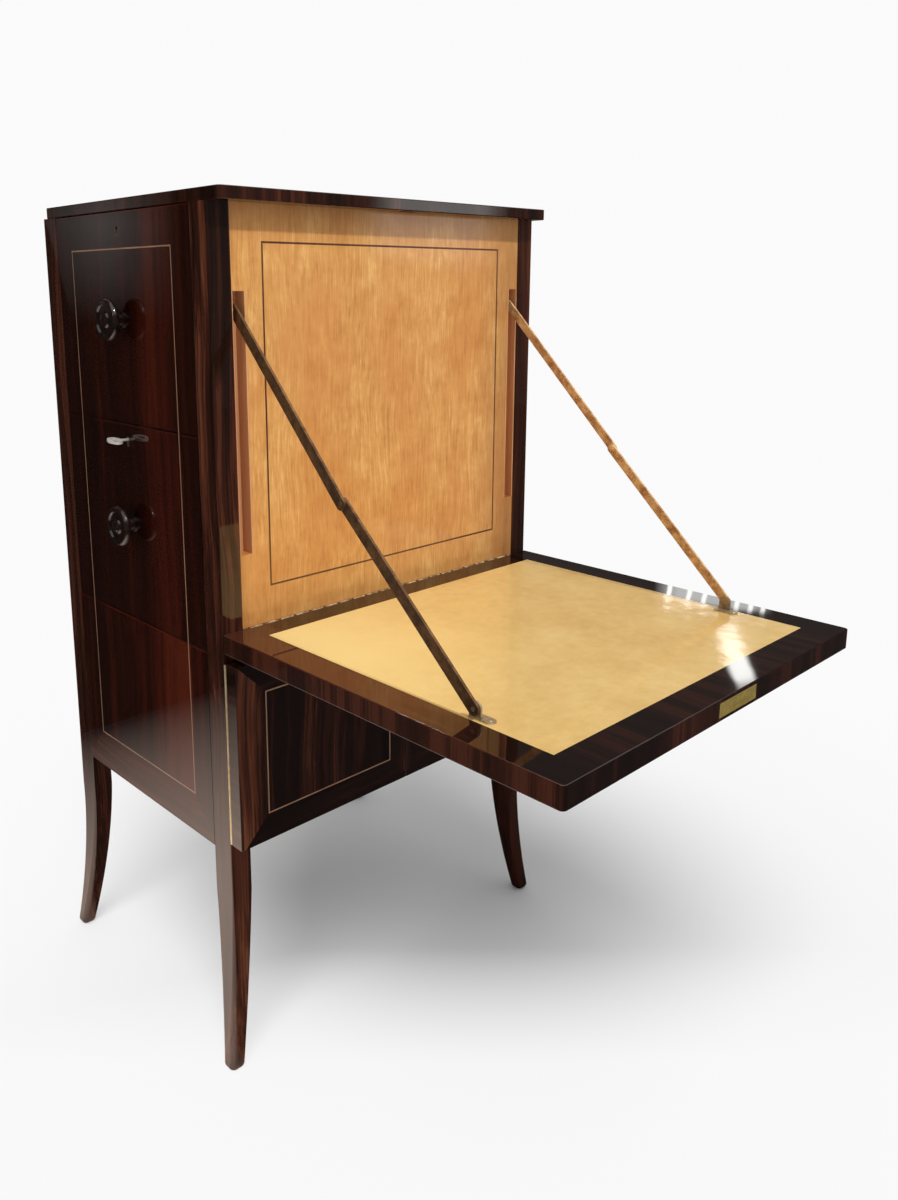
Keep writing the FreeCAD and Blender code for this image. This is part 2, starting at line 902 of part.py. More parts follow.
def keyhole_height(level):
    return drawer_top(level) - keyhole_drop


def at_drawer_keyhole(shape, level):
    """Turns a keyhole piece into the face of a drawer, with its slot hanging down."""
    turned = shape.copy()
    turned.Placement = Placement(
        Vector(-half_width, drawer_middle, keyhole_height(level)),
        Rotation(Y_AXIS, Z_AXIS, X_AXIS, "ZXY"))
    return turned


def drawer_string(level):
    return side_string(-half_width, 1).common(drawer_front_board(level))


def drawer_front(level):
    return drawer_front_board(level).cut([
        side_string(-half_width, 1), at_drawer_keyhole(keyhole(0, drawer_front_thickness), level),
        at_drawer_keyhole(keyhole(thread_width, thread_depth), level)])


def drawer_tray(level):
    """The sides, back and bottom of a drawer."""
    low, thickness, above = drawer_levels[level]
    foot = low + thickness + slide_gap
    heights = (foot, above - tray_top_gap)
    inner_y = (tray_front_y + tray_wall, tray_rear_y - tray_wall)
    front_side = box((drawer_inner_x, tray_rear_x), (tray_front_y, inner_y[0]), heights)
    rear_side = box((drawer_inner_x, tray_rear_x), (inner_y[1], tray_rear_y), heights)
    back = box((tray_rear_x - tray_wall, tray_rear_x), inner_y, heights)
    floor = box(
        (drawer_inner_x, tray_rear_x - tray_wall), inner_y,
        (foot + tray_bottom_rise, foot + tray_bottom_rise + tray_bottom_thickness))
    return Part.makeCompound([front_side, rear_side, back, floor])


def knob_profile():
    """Half the turned outline of a knob, with its length along -X from the drawer's face."""
    front = knob_disc_back + knob_disc_thickness
    middle = knob_disc_back + knob_disc_thickness / 2
    rim = knob_radius - knob_disc_thickness / 2
    dish_outer = knob_radius * knob_dish_outer_share
    dish_inner = knob_radius * knob_dish_inner_share
    slope = knob_radius * knob_ring_slope_share
    button = knob_radius * knob_button_share
    foot = front - knob_dish_depth
    straight = [
        (0, 0), (0, knob_base_radius), (knob_base_height, knob_base_radius),
        (knob_base_height, knob_neck_radius), (knob_disc_back, knob_neck_radius), (knob_disc_back, rim)]
    ringed = [
        (front, rim), (front, dish_outer), (foot, dish_outer - slope), (foot, dish_inner),
        (front, dish_inner - slope), (front, button)]
    edges = line_edges(straight)
    edges.append(arc_edge((knob_disc_back, rim), (middle, knob_radius), (front, rim)))
    edges += line_edges(ringed)
    crown = front + knob_button_height
    cap_radius = (button ** 2 + knob_button_height ** 2) / (2 * knob_button_height)
    half_turn = asin(button / cap_radius) / 2
    cap_bend = (crown - cap_radius * (1 - cos(half_turn)), cap_radius * sin(half_turn))
    edges.append(arc_edge((front, button), cap_bend, (crown, 0)))
    edges += line_edges([(crown, 0), (0, 0)])
    return Part.Face(Part.Wire(edges))


def turned_point(pair):
    """A point of a turned outline: so far out from the face, so far from the middle."""
    return Vector(-pair[0], 0, pair[1])


def line_edges(pairs):
    points = [turned_point(pair) for pair in pairs]
    return [Part.LineSegment(a, b).toShape() for a, b in zip(points, points[1:])]


def arc_edge(start, bulge, end):
    return Part.Arc(turned_point(start), turned_point(bulge), turned_point(end)).toShape()


def drawer_knob(level):
    knob = knob_profile().revolve(MIDDLE, X_AXIS, 360)
    low = drawer_levels[level][0]
    return knob.translated(Vector(-half_width, drawer_middle, (low + drawer_top(level)) / 2))


def bolt_places():
    """The near and far face of a drawer's bolt, in X."""
    near = drawer_inner_x + lock_chamber_depth + bolt_clearance
    return near, near + bolt_thickness


def drawer_lock(level):
    """The lock on the back of a drawer's front: a case with a key chamber and a channel for the bolt."""
    high = drawer_top(level)
    side = lock_width / 2
    case = box(
        (drawer_inner_x, drawer_inner_x + lock_thickness), (drawer_middle - side, drawer_middle + side),
        (high - lock_height, high))
    centre = Vector(drawer_inner_x, drawer_middle, keyhole_height(level))
    chamber = rod(lock_chamber_radius, centre, centre + Vector(lock_chamber_depth, 0, 0))
    near_x, far_x = bolt_places()
    bolt_side = bolt_width / 2 + bolt_clearance
    channel = box(
        (near_x - bolt_clearance, far_x + bolt_clearance),
        (drawer_middle - bolt_side, drawer_middle + bolt_side),
        (high - bolt_height - 2 * bolt_clearance, high + overrun))
    return case.cut([chamber, channel])


def drawer_bolt(level):
    high = drawer_top(level) - bolt_clearance
    side = bolt_width / 2
    return box(bolt_places(), (drawer_middle - side, drawer_middle + side), (high - bolt_height, high))


def oval_plate(inset):
    """The key's bow as a full oval, drawn in a given way from its rim."""
    oval = Part.Ellipse(MIDDLE, key_bow_width / 2 - inset, key_bow_length / 2 - inset)
    return Part.Face(Part.Wire(oval.toShape())).extrude(Vector(0, 0, key_bow_thickness))


def drawer_key():
    """The key in the lower drawer's lock, with its bow and bit leaning a little from level."""
    y, z = drawer_middle, keyhole_height("lower")
    bow_x = -half_width - key_stand_off - key_bow_length / 2
    bow = oval_plate(0).cut(oval_plate(key_bow_ring))
    bow.Placement = Placement(Vector(bow_x, y, z - key_bow_thickness / 2), Rotation(Z_AXIS, 90))
    tip_x = drawer_inner_x + lock_chamber_depth - key_end_gap
    start_x = -half_width - key_stand_off - key_bow_ring / 2
    shank = rod(key_shank_radius, Vector(start_x, y, z), Vector(tip_x, y, z))
    bit_side = key_bit_thickness / 2
    bit = box((tip_x - key_bit_length, tip_x), (y, y + key_bit_reach), (z - bit_side, z + bit_side))
    return fused([bow, shank, bit]).rotate(Vector(0, y, z), X_AXIS, key_lean)


def build():
    """Every piece of the desk under its name."""
    pieces = {
        "top_board": top_board(),
        "front_left_leg": front_leg(-1),
        "front_right_leg": front_leg(1),
        "rear_left_leg": leg(-1, False),
        "rear_right_leg": leg(1, False),
        "right_side_panel": right_side_panel(),
        "left_lower_panel": left_lower_panel(),
        "back_panel": back_panel(),
        "bottom_board": bottom_board(),
        "front_rail": front_rail(),
        "deck": deck(),
        "drawer_divider": drawer_divider(),
        "interior_panel": interior_panel(),
        "slot_fillers": slot_fillers(),
        "slot_linings": slot_linings(),
        "drawer_guides": drawer_guides(),
        "interior_string": interior_string(),
        "left_panel_string": left_panel_string(),
        "right_panel_string": side_string(half_width, -1),
        "stay_pivot_pins": stay_pivot_pins(),
        "fall_panel": fall_panel(),
        "writing_surface": writing_surface(),
        "fall_string": fall_string(),
        "fall_lock": fall_lock(),
        "fall_lock_bolt": fall_lock_bolt(),
        "fall_keyhole_thread": at_fall_keyhole(keyhole_thread()),
        "stay_brackets": stay_brackets(),
        "right_upper_link": upper_link(right_stay_sag, right_link_width),
        "left_upper_link": mirrored(upper_link(left_stay_sag, left_link_width)),
        "right_lower_link": lower_link(right_stay_sag, right_link_width),
        "left_lower_link": mirrored(lower_link(left_stay_sag, left_link_width)),
        "left_door_panel": left_door_panel(),
        "right_door_panel": right_door_panel(),
        "left_door_string": door_string(),
        "right_door_string": mirrored(door_string()),
        "door_lock": door_lock(),
        "door_lock_bolt": door_lock_bolt(),
        "key": drawer_key(),
    }
    pieces.update(hinge_pieces())
    for level in drawer_levels:
        pieces[f"{level}_drawer_front"] = drawer_front(level)
        pieces[f"{level}_drawer_tray"] = drawer_tray(level)
        pieces[f"{level}_drawer_string"] = drawer_string(level)
        pieces[f"{level}_drawer_knob"] = drawer_knob(level)
        pieces[f"{level}_drawer_lock"] = drawer_lock(level)
        pieces[f"{level}_drawer_bolt"] = drawer_bolt(level)
        pieces[f"{level}_keyhole_thread"] = at_drawer_keyhole(keyhole_thread(), level)
    return pieces


def hinge_pieces():
    """The leaves and pins of the flap's hinge and of both doors' hinges."""
    length = door_hinge_length()
    fixed = at_left_door(hinge_leaf(length, door_knuckles, False))
    moving = at_left_door(hinge_leaf(length, door_knuckles, True))
    pin = at_left_door(hinge_pin(length))
    return {
        "fall_hinge_fixed_leaf": at_fall(hinge_leaf(fall_hinge_length, fall_knuckles, False)),
        "fall_hinge_moving_leaf": at_fall(hinge_leaf(fall_hinge_length, fall_knuckles, True)),
        "fall_hinge_pin": at_fall(hinge_pin(fall_hinge_length)),
        "left_door_hinge_fixed_leaf": fixed,
        "left_door_hinge_moving_leaf": moving,
        "right_door_hinge_fixed_leaf": mirrored(fixed),
        "right_door_hinge_moving_leaf": mirrored(moving),
        "door_hinge_pins": Part.makeCompound([pin, mirrored(pin)]),
    }


def origin():
    """The point on the floor under the middle of the desk's box."""
    foot_x = half_width - post_width / 2 + foot_shift_x + foot_side / 2
    foot_y = carcass_depth - post_depth / 2 + foot_shift_y + foot_side / 2
    low_x = -half_width - max(knob_reach, key_reach)
    return Vector((low_x + foot_x) / 2, (fall_front + foot_y) / 2, 0)


def export():
    os.makedirs("parts", exist_ok=True)
    shift = origin().negative()
    for name, shape in build().items():
        shape.translated(shift).exportStep(f"parts/{name}.step")


export()
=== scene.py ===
"""The looks of the drop-front writing desk: veneers, metals and parchment, on a pale studio floor.

Lengths are in metres, in the frame of the model: X to the right along the front, -Y to the front,
Z up from the floor. Angles named azimuth turn from +Y toward +X.
"""

import math
from typing import NamedTuple

import bmesh
import bpy
from mathutils import Matrix, Vector


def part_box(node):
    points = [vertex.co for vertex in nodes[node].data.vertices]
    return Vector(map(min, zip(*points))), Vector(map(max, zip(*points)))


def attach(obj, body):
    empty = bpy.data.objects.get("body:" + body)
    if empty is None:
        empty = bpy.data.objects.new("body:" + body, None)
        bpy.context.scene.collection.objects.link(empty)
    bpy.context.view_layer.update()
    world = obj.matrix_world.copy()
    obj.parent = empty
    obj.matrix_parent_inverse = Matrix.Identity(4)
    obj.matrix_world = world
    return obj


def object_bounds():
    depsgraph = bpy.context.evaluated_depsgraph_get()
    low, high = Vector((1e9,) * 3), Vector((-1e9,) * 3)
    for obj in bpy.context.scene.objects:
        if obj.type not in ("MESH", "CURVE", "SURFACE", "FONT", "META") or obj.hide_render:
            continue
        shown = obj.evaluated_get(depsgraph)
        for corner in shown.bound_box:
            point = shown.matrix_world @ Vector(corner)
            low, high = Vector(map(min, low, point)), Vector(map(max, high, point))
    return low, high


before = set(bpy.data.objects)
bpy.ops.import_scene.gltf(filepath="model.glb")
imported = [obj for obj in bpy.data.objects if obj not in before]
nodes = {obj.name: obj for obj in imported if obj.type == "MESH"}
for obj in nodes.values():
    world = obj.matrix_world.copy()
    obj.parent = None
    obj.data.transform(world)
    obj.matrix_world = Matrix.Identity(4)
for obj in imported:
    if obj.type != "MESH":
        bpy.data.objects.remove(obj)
cad_low, cad_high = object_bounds()

AXES = {"X": 0, "Y": 1, "Z": 2}


# The rows of the tables below

class Lamp(NamedTuple):
    """A distant lamp: its strength, how wide it looks, and the way from the desk to it."""
    strength: float
    angle: float
    source: Vector


class Fade(NamedTuple):
    """A fade of the floor to white along a way across it, and how white it is at its end."""
    way: tuple
    start: float
    end: float
    share: float


class Window(NamedTuple):
    """A window that a spot on the desk mirrors. Its angles are in degrees, as seen from there."""
    spot: tuple
    azimuth: float
    elevation: float
    wide: float
    tall: float
    strength: float
    roll: float = 0.0
    soft_share: float = 0.2
    distance: float = 5.0


class Layer(NamedTuple):
    """A layer of noise, with so many features to the metre.

    A small stretch draws it out along the grain, and shift sets it apart from other layers of one
    seed. Its limits become 0 and 1, and weight is its share where layers are added up."""
    scale: float
    detail: float
    rough: float
    stretch: float = 1.0
    shift: float = 0.0
    limits: tuple = None
    weight: float = 1.0


class Drift(NamedTuple):
    """How far stripes wander sideways, and how many times to the metre."""
    reach: float
    scale: float


class Relief(NamedTuple):
    """How deep a fine surface is, and how much of that shows."""
    depth: float
    strength: float


class Band(NamedTuple):
    """A band across an axis, by its middle and half its width."""
    axis: str
    middle: float
    half: float


class Streak(NamedTuple):
    """How much lighter a veneer is where all the bands meet."""
    share: float
    bands: tuple


class Border(NamedTuple):
    """A mitred border outside a string rectangle, and the grain of its level strips.

    across and up are the axes of the face, low and high the corners of the rectangle in them."""
    across: str
    up: str
    low: tuple
    high: tuple
    grain: str


class Edges(NamedTuple):
    """The edges of a board: the axis that its broad faces look along, and the edges' own grain."""
    facing: str
    grain: str


class Veneer(NamedTuple):
    """Polished Macassar veneer.

    shades are the places on the colour stops of its darkest and its lightest stripes.
    lifts are how much lighter the field inside the border and the border's level strips are.
    flames are streaks that drift with the grain, and lines are straight ones."""
    stops: tuple
    grain: str
    seed: float
    shades: tuple
    edges: Edges = None
    border: Border = None
    lifts: tuple = (0.0, 0.0)
    flames: tuple = ()
    lines: tuple = ()


class Wood(NamedTuple):
    """Wood with a simple grain, and the pieces made of it."""
    pieces: tuple
    grain: str
    seed: float
    dark: tuple
    light: tuple
    rough: float = 0.5
    coat: float = 0.1


class Brass(NamedTuple):
    """Brass with brown patina between brighter, rubbed patches, and the pieces made of it.

    wear is the noise at which it is all dull and all bright. knuckle_axis is the axis of a piano hinge:
    its bright patches, kept to the knuckles, are painted glints, and it is dull between them."""
    pieces: tuple
    seed: float
    bright: tuple
    dull: tuple
    wear: tuple
    rough: float
    metal: float
    knuckle_axis: str = None


class Metal(NamedTuple):
    """Bare metal with fine scratches, and the pieces made of it."""
    pieces: tuple
    seed: float
    colour: tuple
    rough: float
    metal: float = 1.0


def srgb(red, green, blue):
    """A colour as it looks on a screen, 0 to 255 each, as linear light by the sRGB curve."""
    def linear(value):
        share = value / 255
        return share / 12.92 if share <= 0.04045 else ((share + 0.055) / 1.055) ** 2.4
    return linear(red), linear(green), linear(blue), 1.0


# Camera, fitted to the straight edges of the desk in the photograph
IMAGE_HEIGHT = 1200
IMAGE_WIDTH = 898
FOCAL_PIXELS = 983.94
CENTRE_PIXEL = (379.65, 491.70)
CAMERA_PLACE = Vector((-1.1135, -1.1320, 1.2384))
CAMERA_YAW = 0.7440
CAMERA_PITCH = -0.2042
CAMERA_ROLL = -0.0044
SENSOR = 36.0

# Studio light and floor
FLOOR_REACH = 60.0
FLOOR_TONE = 0.93
FLOOR_GLOSS_TONE = 0.04
BACKDROP_TONE = 0.96
BACKDROP_COLOUR = (BACKDROP_TONE, BACKDROP_TONE, BACKDROP_TONE, 1.0)
DOME_COLOUR = (1.0, 1.0, 1.0, 1.0)
DOME_LIGHT = 0.52
KEY_LIGHT = Lamp(strength=2.2, angle=math.radians(3.5), source=Vector((0.02, -0.64, 0.77)))
FLOOR_LIGHT = Lamp(strength=2.0, angle=math.radians(34), source=Vector((-0.5, -0.46, 1.0)))

# The floor fades to the white of the backdrop before the desk, to the left of it and far behind it
TO_BACKDROP = (0.677, 0.736)
TO_RIGHT = (0.736, -0.677)
FLOOR_FADES = (
    Fade(TO_BACKDROP, start=0.08, end=-0.2, share=0.85),
    Fade(TO_RIGHT, start=-0.2, end=-0.95, share=0.85),
    Fade(TO_BACKDROP, start=1.0, end=2.0, share=1.0))

# A dim room around the desk that only polish sees, with a stretch of sunlit floor
ROOM_RADIUS = 9.0
ROOM_HEIGHT = 6.5
ROOM_SIDES = 64
ROOM_TONE = (0.080, 0.072, 0.068)
BACK_WALL_TONE = (0.020, 0.014, 0.012)
BACK_WALL_Y = 1.36
BACK_WALL_RIGHT = -0.36
SUNLIT_LOW = (-1.2, -0.8)
SUNLIT_HIGH = (-0.32, 1.34)
SUNLIT_SOFT = (0.08, 0.8)
SUNLIT_LIFT = 0.001
SUNLIT_TONE = (1.6, 1.28, 1.08)

# Its windows, and the spots on the desk that mirror them
WINDOW_LIGHT = (1.0, 1.0, 0.97)
FLAP_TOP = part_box("fall_panel")[1][2]
SHEET_SPOT = (0.13, -0.51, FLAP_TOP)
BORDER_SPOT = (0.345, -0.36, FLAP_TOP)
PANEL_SPOT = (0.1, 0.05, 1.28)
DRAWER_SPOT = (-0.345, 0.32, 1.29)
KNOB_SPOT = (-0.37, 0.3, 1.0)
WINDOWS = {
    "sheet_window": Window(
        SHEET_SPOT, azimuth=63.6, elevation=20.1, wide=1.7, tall=5.0, strength=5.2, roll=-26.0),
    "border_window": Window(
        BORDER_SPOT, azimuth=62.1, elevation=16.9, wide=8.4, tall=2.0, strength=2.0),
    "panel_window": Window(
        PANEL_SPOT, azimuth=134.5, elevation=4.9, wide=10.6, tall=8.4, strength=1.5, roll=6.0),
    "side_window": Window(
        DRAWER_SPOT, azimuth=-27.0, elevation=6.0, wide=20.0, tall=26.0, strength=0.36,
        soft_share=0.5, distance=1.1),
    "knob_window": Window(
        KNOB_SPOT, azimuth=-112.0, elevation=24.0, wide=8.0, tall=10.0, strength=9.0)}
BORDER_PANE = Window(
    BORDER_SPOT, azimuth=0.0, elevation=16.9, wide=0.4, tall=2.2, strength=4.5, roll=8.0)
BORDER_PANE_AZIMUTHS = (58.8, 60.3, 61.5, 63.9, 64.9, 65.8)

# Screws that hold the tongues of the stay brackets and the back panel
SCREW_RADIUS = 0.0034
SCREW_HEIGHT = 0.0009
SCREW_SLOT = 0.0009
SCREW_CROWN_SHARE = 0.8
SCREW_FLOOR_SHARE = 0.25
SCREW_RIM_SHARE = 0.5
SCREW_POINTS = 14
SCREW_FROM_SIDE = 0.0119
SCREW_FROM_FRONT = 0.0075
TONGUE_THICKNESS = 0.002
BACK_SCREW_INSET = 0.018
BACK_SCREW_ROWS = 5
LEVEL = (0.0, 0.0, 0.0)
TO_REAR = (-math.pi / 2, 0.0, 0.0)

# Noise and masks: how a seed moves noise along the axes, the middle of its values, the detail of
# drift, the part of a normal that counts as facing an axis, and the full share of a soft band
SEED_WAY = (1.0, 0.7, 1.3)
NOISE_MIDDLE = (0.5, 0.5, 0.5)
DRIFT_DETAIL = 2.0
FACING_LIMIT = 0.7
BAND_CORE_SHARE = 0.4

# Macassar veneer: dark heartwood with red or brown stripes, under a thick polish
RED_MACASSAR = (
    (0.00, srgb(17, 6, 4)),
    (0.30, srgb(33, 11, 6)),
    (0.50, srgb(58, 19, 10)),
    (0.70, srgb(94, 38, 21)),
    (0.88, srgb(130, 64, 38)),
    (1.00, srgb(152, 88, 56)))
BROWN_MACASSAR = (
    (0.00, srgb(14, 7, 5)),
    (0.30, srgb(28, 14, 10)),
    (0.50, srgb(52, 25, 17)),
    (0.70, srgb(86, 46, 31)),
    (0.88, srgb(124, 74, 50)),
    (1.00, srgb(150, 100, 72)))
BROAD_BANDS = Layer(scale=15.0, detail=2.0, rough=0.5, stretch=0.03, limits=(0.33, 0.67), weight=0.42)
NARROW_STRIPES = Layer(
    scale=64.0, detail=3.0, rough=0.6, stretch=0.014, shift=3.0, limits=(0.32, 0.68), weight=0.38)
FINE_LINES = Layer(
    scale=300.0, detail=2.0, rough=0.5, stretch=0.01, shift=5.0, limits=(0.3, 0.7), weight=0.2)
MACASSAR_LAYERS = (BROAD_BANDS, NARROW_STRIPES, FINE_LINES)
MACASSAR_DRIFT = Drift(reach=0.05, scale=2.6)
MACASSAR_PORES = Layer(scale=900.0, detail=2.0, rough=0.5, stretch=0.02)
PORE_RELIEF = Relief(depth=0.0001, strength=0.25)
POLISH_WAVES = Layer(scale=9.0, detail=1.0, rough=0.4)
WAVE_RELIEF = Relief(depth=0.0006, strength=0.35)
POLISH = {
    "Roughness": 0.4, "Specular IOR Level": 0.0, "Coat Weight": 1.0, "Coat Roughness": 0.035,
    "Coat IOR": 1.62}
BORDER_SEED_SHIFT = 11
EDGE_SEED_SHIFT = 23

# Legs: the seed and the shades of each
LEG_VENEERS = {
    "front_left_leg": (3.1, (0.08, 1.15)),
    "front_right_leg": (7.4, (0.05, 0.75)),
    "rear_left_leg": (11.7, (0.1, 1.0)),
    "rear_right_leg": (16.0, (0.05, 0.8))}

# Left side: streaks near the front string, and where the fronts and the panel meet, a painted highlight
# along each upper edge and a dark line along each lower one
RED_STREAK_INSET = 0.05
RED_STREAK_HALF = 0.09
RED_STREAK_SHARE = 0.4
BRIGHT_STREAK_INSET = 0.016
BRIGHT_STREAK_HALF = 0.02
BRIGHT_STREAK_SHARE = 0.6
SEAM_WIDTH = 0.0028
EDGE_HIGHLIGHT_SHARE = 0.45
SEAM_SHARE = -0.6
LEVEL_STRIP_LIFT = 0.25

# Doors: seed and light flame beside the hinge of each, and how much darker the field and strips are
DOOR_FLAMES = {"left": (47.0, 0.4), "right": (52.0, 0.05)}
DOOR_FLAME_HALF = 0.03
DOOR_LIFTS = (-0.2, -0.24)

# Flap: how deep its lighter veneers reach on the inner face and the left edge, and where they lie
INNER_FACE_DEPTH = 0.002
EDGE_DEPTH = 0.003
LIGHT_EDGE_SHARE = 0.4
LIGHT_SIDE_SHARE = 1.0
LIGHT_SIDE_INSET = 0.02
LIGHT_SIDE_HALF = 0.07
LIGHT_SIDE_FROM_REAR = 0.12
LIGHT_SIDE_REACH = 0.44

# Maple of the inside: fine streaks over orange and yellow patches; painted shade at its right and
# painted shadow at its top
MAPLE_STREAKS = Layer(scale=420.0, detail=3.0, rough=0.65, stretch=0.03, weight=0.3)
MAPLE_FLECKS = Layer(scale=170.0, detail=3.0, rough=0.6, stretch=0.12, shift=6.0, weight=0.2)
MAPLE_BANDS = Layer(scale=34.0, detail=3.0, rough=0.55, stretch=0.08, shift=2.0, weight=0.08)
MAPLE_PATCHES = Layer(scale=9.0, detail=4.0, rough=0.6, stretch=0.5, shift=4.0, weight=0.2)
MAPLE_MOTTLE = Layer(scale=30.0, detail=5.0, rough=0.65, shift=8.0, weight=0.22)
MAPLE_LAYERS = (MAPLE_STREAKS, MAPLE_FLECKS, MAPLE_BANDS, MAPLE_PATCHES, MAPLE_MOTTLE)
MAPLE_STOPS = (
    (0.40, srgb(180, 118, 58)),
    (0.47, srgb(202, 142, 75)),
    (0.53, srgb(214, 157, 87)),
    (0.61, srgb(232, 180, 112)))
MAPLE_DRIFT = Drift(reach=0.03, scale=5.0)
MAPLE_RELIEF = Relief(depth=0.0001, strength=0.2)
MAPLE_WAVES = Layer(scale=12.0, detail=2.0, rough=0.5)
MAPLE_WAVE_RELIEF = Relief(depth=0.0006, strength=0.3)
MAPLE_SEED = 5.0
MAPLE_POLISH = {
    "Roughness": 0.42, "Specular IOR Level": 0.3, "Coat Weight": 0.9, "Coat Roughness": 0.06}
ORANGE_MAPLE = srgb(204, 134, 68)
ORANGE_LIMITS = (0.42, 0.62)
ORANGE_SHARE = 0.45
# The browner maple is painted shade beside the right post and a painted shadow under the top board
MAPLE_PAINTED_SHADE = srgb(134, 86, 48)
PAINTED_SHADE_WIDTH = 0.09
PAINTED_SHADE_SHARE = 0.45
PAINTED_SHADOW_HEIGHT = 0.06
PAINTED_SHADOW_SHARE = 0.55

# Parchment: cloudy and speckled skin. It is paler toward the left and the rear: fully so up to the
# first distance from the left and from the second one behind the front
SKIN_CLOUDS = Layer(scale=9.0, detail=5.0, rough=0.6, shift=2.0, weight=0.65)
SKIN_VEINS = Layer(scale=60.0, detail=4.0, rough=0.65, shift=7.0, weight=0.35)
SKIN_SPECKS = Layer(scale=700.0, detail=2.0, rough=0.5, shift=9.0, limits=(0.62, 0.8))
SKIN_STOPS = (
    (0.34, srgb(222, 181, 108)),
    (0.50, srgb(234, 196, 122)),
    (0.66, srgb(243, 210, 138)))
SKIN_WAVES = Layer(scale=30.0, detail=3.0, rough=0.5, shift=4.0)
SKIN_RELIEF = Relief(depth=0.0008, strength=0.25)
SKIN_GLAZE = {
    "Roughness": 0.4, "Specular IOR Level": 0.3, "Coat Weight": 0.8, "Coat Roughness": 0.07}
SPECK_COLOUR = srgb(205, 165, 100)
PALE_SKIN = srgb(254, 226, 150)
PALE_SHARE = 0.9
PALE_FROM_LEFT = (0.0465, 0.3465)
PALE_FROM_FRONT = (0.105, 0.365)

# Plain woods
WOOD_STREAKS = Layer(scale=160.0, detail=4.0, rough=0.6, stretch=0.03, weight=0.55)
WOOD_BANDS = Layer(scale=24.0, detail=2.0, rough=0.5, stretch=0.05, shift=2.0, weight=0.45)
WOOD_TONES = (0.35, 0.65)
WOOD_RELIEF = Relief(depth=0.0003, strength=0.3)
WOOD_COAT_ROUGHNESS = 0.2
WOODS = {
    "slot_lining_wood": Wood(
        ("slot_linings",), grain="Z", seed=9.0, dark=srgb(186, 128, 86), light=srgb(214, 156, 108)),
    "boxwood": Wood(
        ("left_panel_string", "right_panel_string", "fall_string", "left_door_string",
         "right_door_string", "upper_drawer_string", "lower_drawer_string"),
        grain="Z", seed=12.0, dark=srgb(140, 98, 72), light=srgb(172, 128, 96), rough=0.35, coat=0.8),
    "dark_string_wood": Wood(
        ("interior_string",), grain="Z", seed=15.0, dark=srgb(70, 36, 20), light=srgb(104, 58, 32),
        rough=0.35, coat=0.8),
    "carcass_wood": Wood(
        ("deck", "drawer_divider", "drawer_guides"),
        grain="X", seed=18.0, dark=srgb(112, 74, 46), light=srgb(150, 106, 70)),
    "back_wood": Wood(
        ("back_panel",), grain="Z", seed=24.0, dark=srgb(74, 44, 28), light=srgb(106, 66, 42)),
    "tray_wood": Wood(
        ("upper_drawer_tray", "lower_drawer_tray"),
        grain="X", seed=27.0, dark=srgb(172, 128, 80), light=srgb(204, 164, 112))}

# Ebony of the turned knobs
EBONY_STREAKS = Layer(scale=160.0, detail=3.0, rough=0.6, stretch=0.05, shift=5.0)
EBONY_STOPS = ((0.4, srgb(16, 8, 7)), (0.7, srgb(48, 24, 19)))
EBONY_RELIEF = Relief(depth=0.0001, strength=0.2)
EBONY_POLISH = {
    "Roughness": 0.3, "Specular IOR Level": 0.2, "Coat Weight": 0.8, "Coat Roughness": 0.06,
    "Coat IOR": 1.62}

# Brass, and the knuckles of the flap's piano hinge, bright as painted glints: their pitch, and the
# share of it that is brass
BRASS_PATCHES = Layer(scale=55.0, detail=4.0, rough=0.65, weight=0.75)
BRASS_GRIME = Layer(scale=380.0, detail=3.0, rough=0.6, shift=3.0, weight=0.25)
BRASS_RELIEF = Relief(depth=0.0002, strength=0.25)
DULL_BRASS_ROUGHER = 0.18
KNUCKLE_PITCH = 0.03
KNUCKLE_SHARE = 0.8
BRASSES = {
    # The two stays are of one brass: the left one darker in painted shade, the right one paler and more
    # golden in painted light
    "stay_brass_in_painted_shade": Brass(
        ("left_upper_link", "left_lower_link"),
        seed=4.0, bright=srgb(150, 108, 66), dull=srgb(92, 64, 42),
        wear=(0.4, 0.66), rough=0.4, metal=0.6),
    "stay_brass_in_painted_light": Brass(
        ("right_upper_link", "right_lower_link"),
        seed=14.0, bright=srgb(236, 198, 144), dull=srgb(170, 118, 70),
        wear=(0.4, 0.6), rough=0.46, metal=0.3),
    "bracket_brass": Brass(
        ("stay_pivot_pins", "stay_brackets"),
        seed=24.0, bright=srgb(206, 190, 160), dull=srgb(140, 122, 96),
        wear=(0.35, 0.6), rough=0.34, metal=0.7),
    "hinge_brass": Brass(
        ("left_door_hinge_fixed_leaf", "left_door_hinge_moving_leaf", "right_door_hinge_fixed_leaf",
         "right_door_hinge_moving_leaf", "door_hinge_pins"),
        seed=8.0, bright=srgb(248, 230, 186), dull=srgb(206, 180, 130),
        wear=(0.35, 0.6), rough=0.28, metal=0.7),
    "hinge_brass_with_painted_glints": Brass(
        ("fall_hinge_fixed_leaf", "fall_hinge_moving_leaf", "fall_hinge_pin"),
        seed=8.0, bright=srgb(224, 196, 150), dull=srgb(92, 58, 34),
        wear=(0.4, 0.62), rough=0.3, metal=0.5, knuckle_axis="X"),
    "plate_brass": Brass(
        ("fall_lock", "fall_lock_bolt"),
        seed=28.0, bright=srgb(168, 146, 74), dull=srgb(132, 112, 56),
        wear=(0.35, 0.6), rough=0.4, metal=0.4),
    "thread_brass": Brass(
        ("fall_keyhole_thread", "upper_keyhole_thread", "lower_keyhole_thread"),
        seed=31.0, bright=srgb(158, 142, 112), dull=srgb(100, 86, 64),
        wear=(0.35, 0.6), rough=0.4, metal=0.7)}

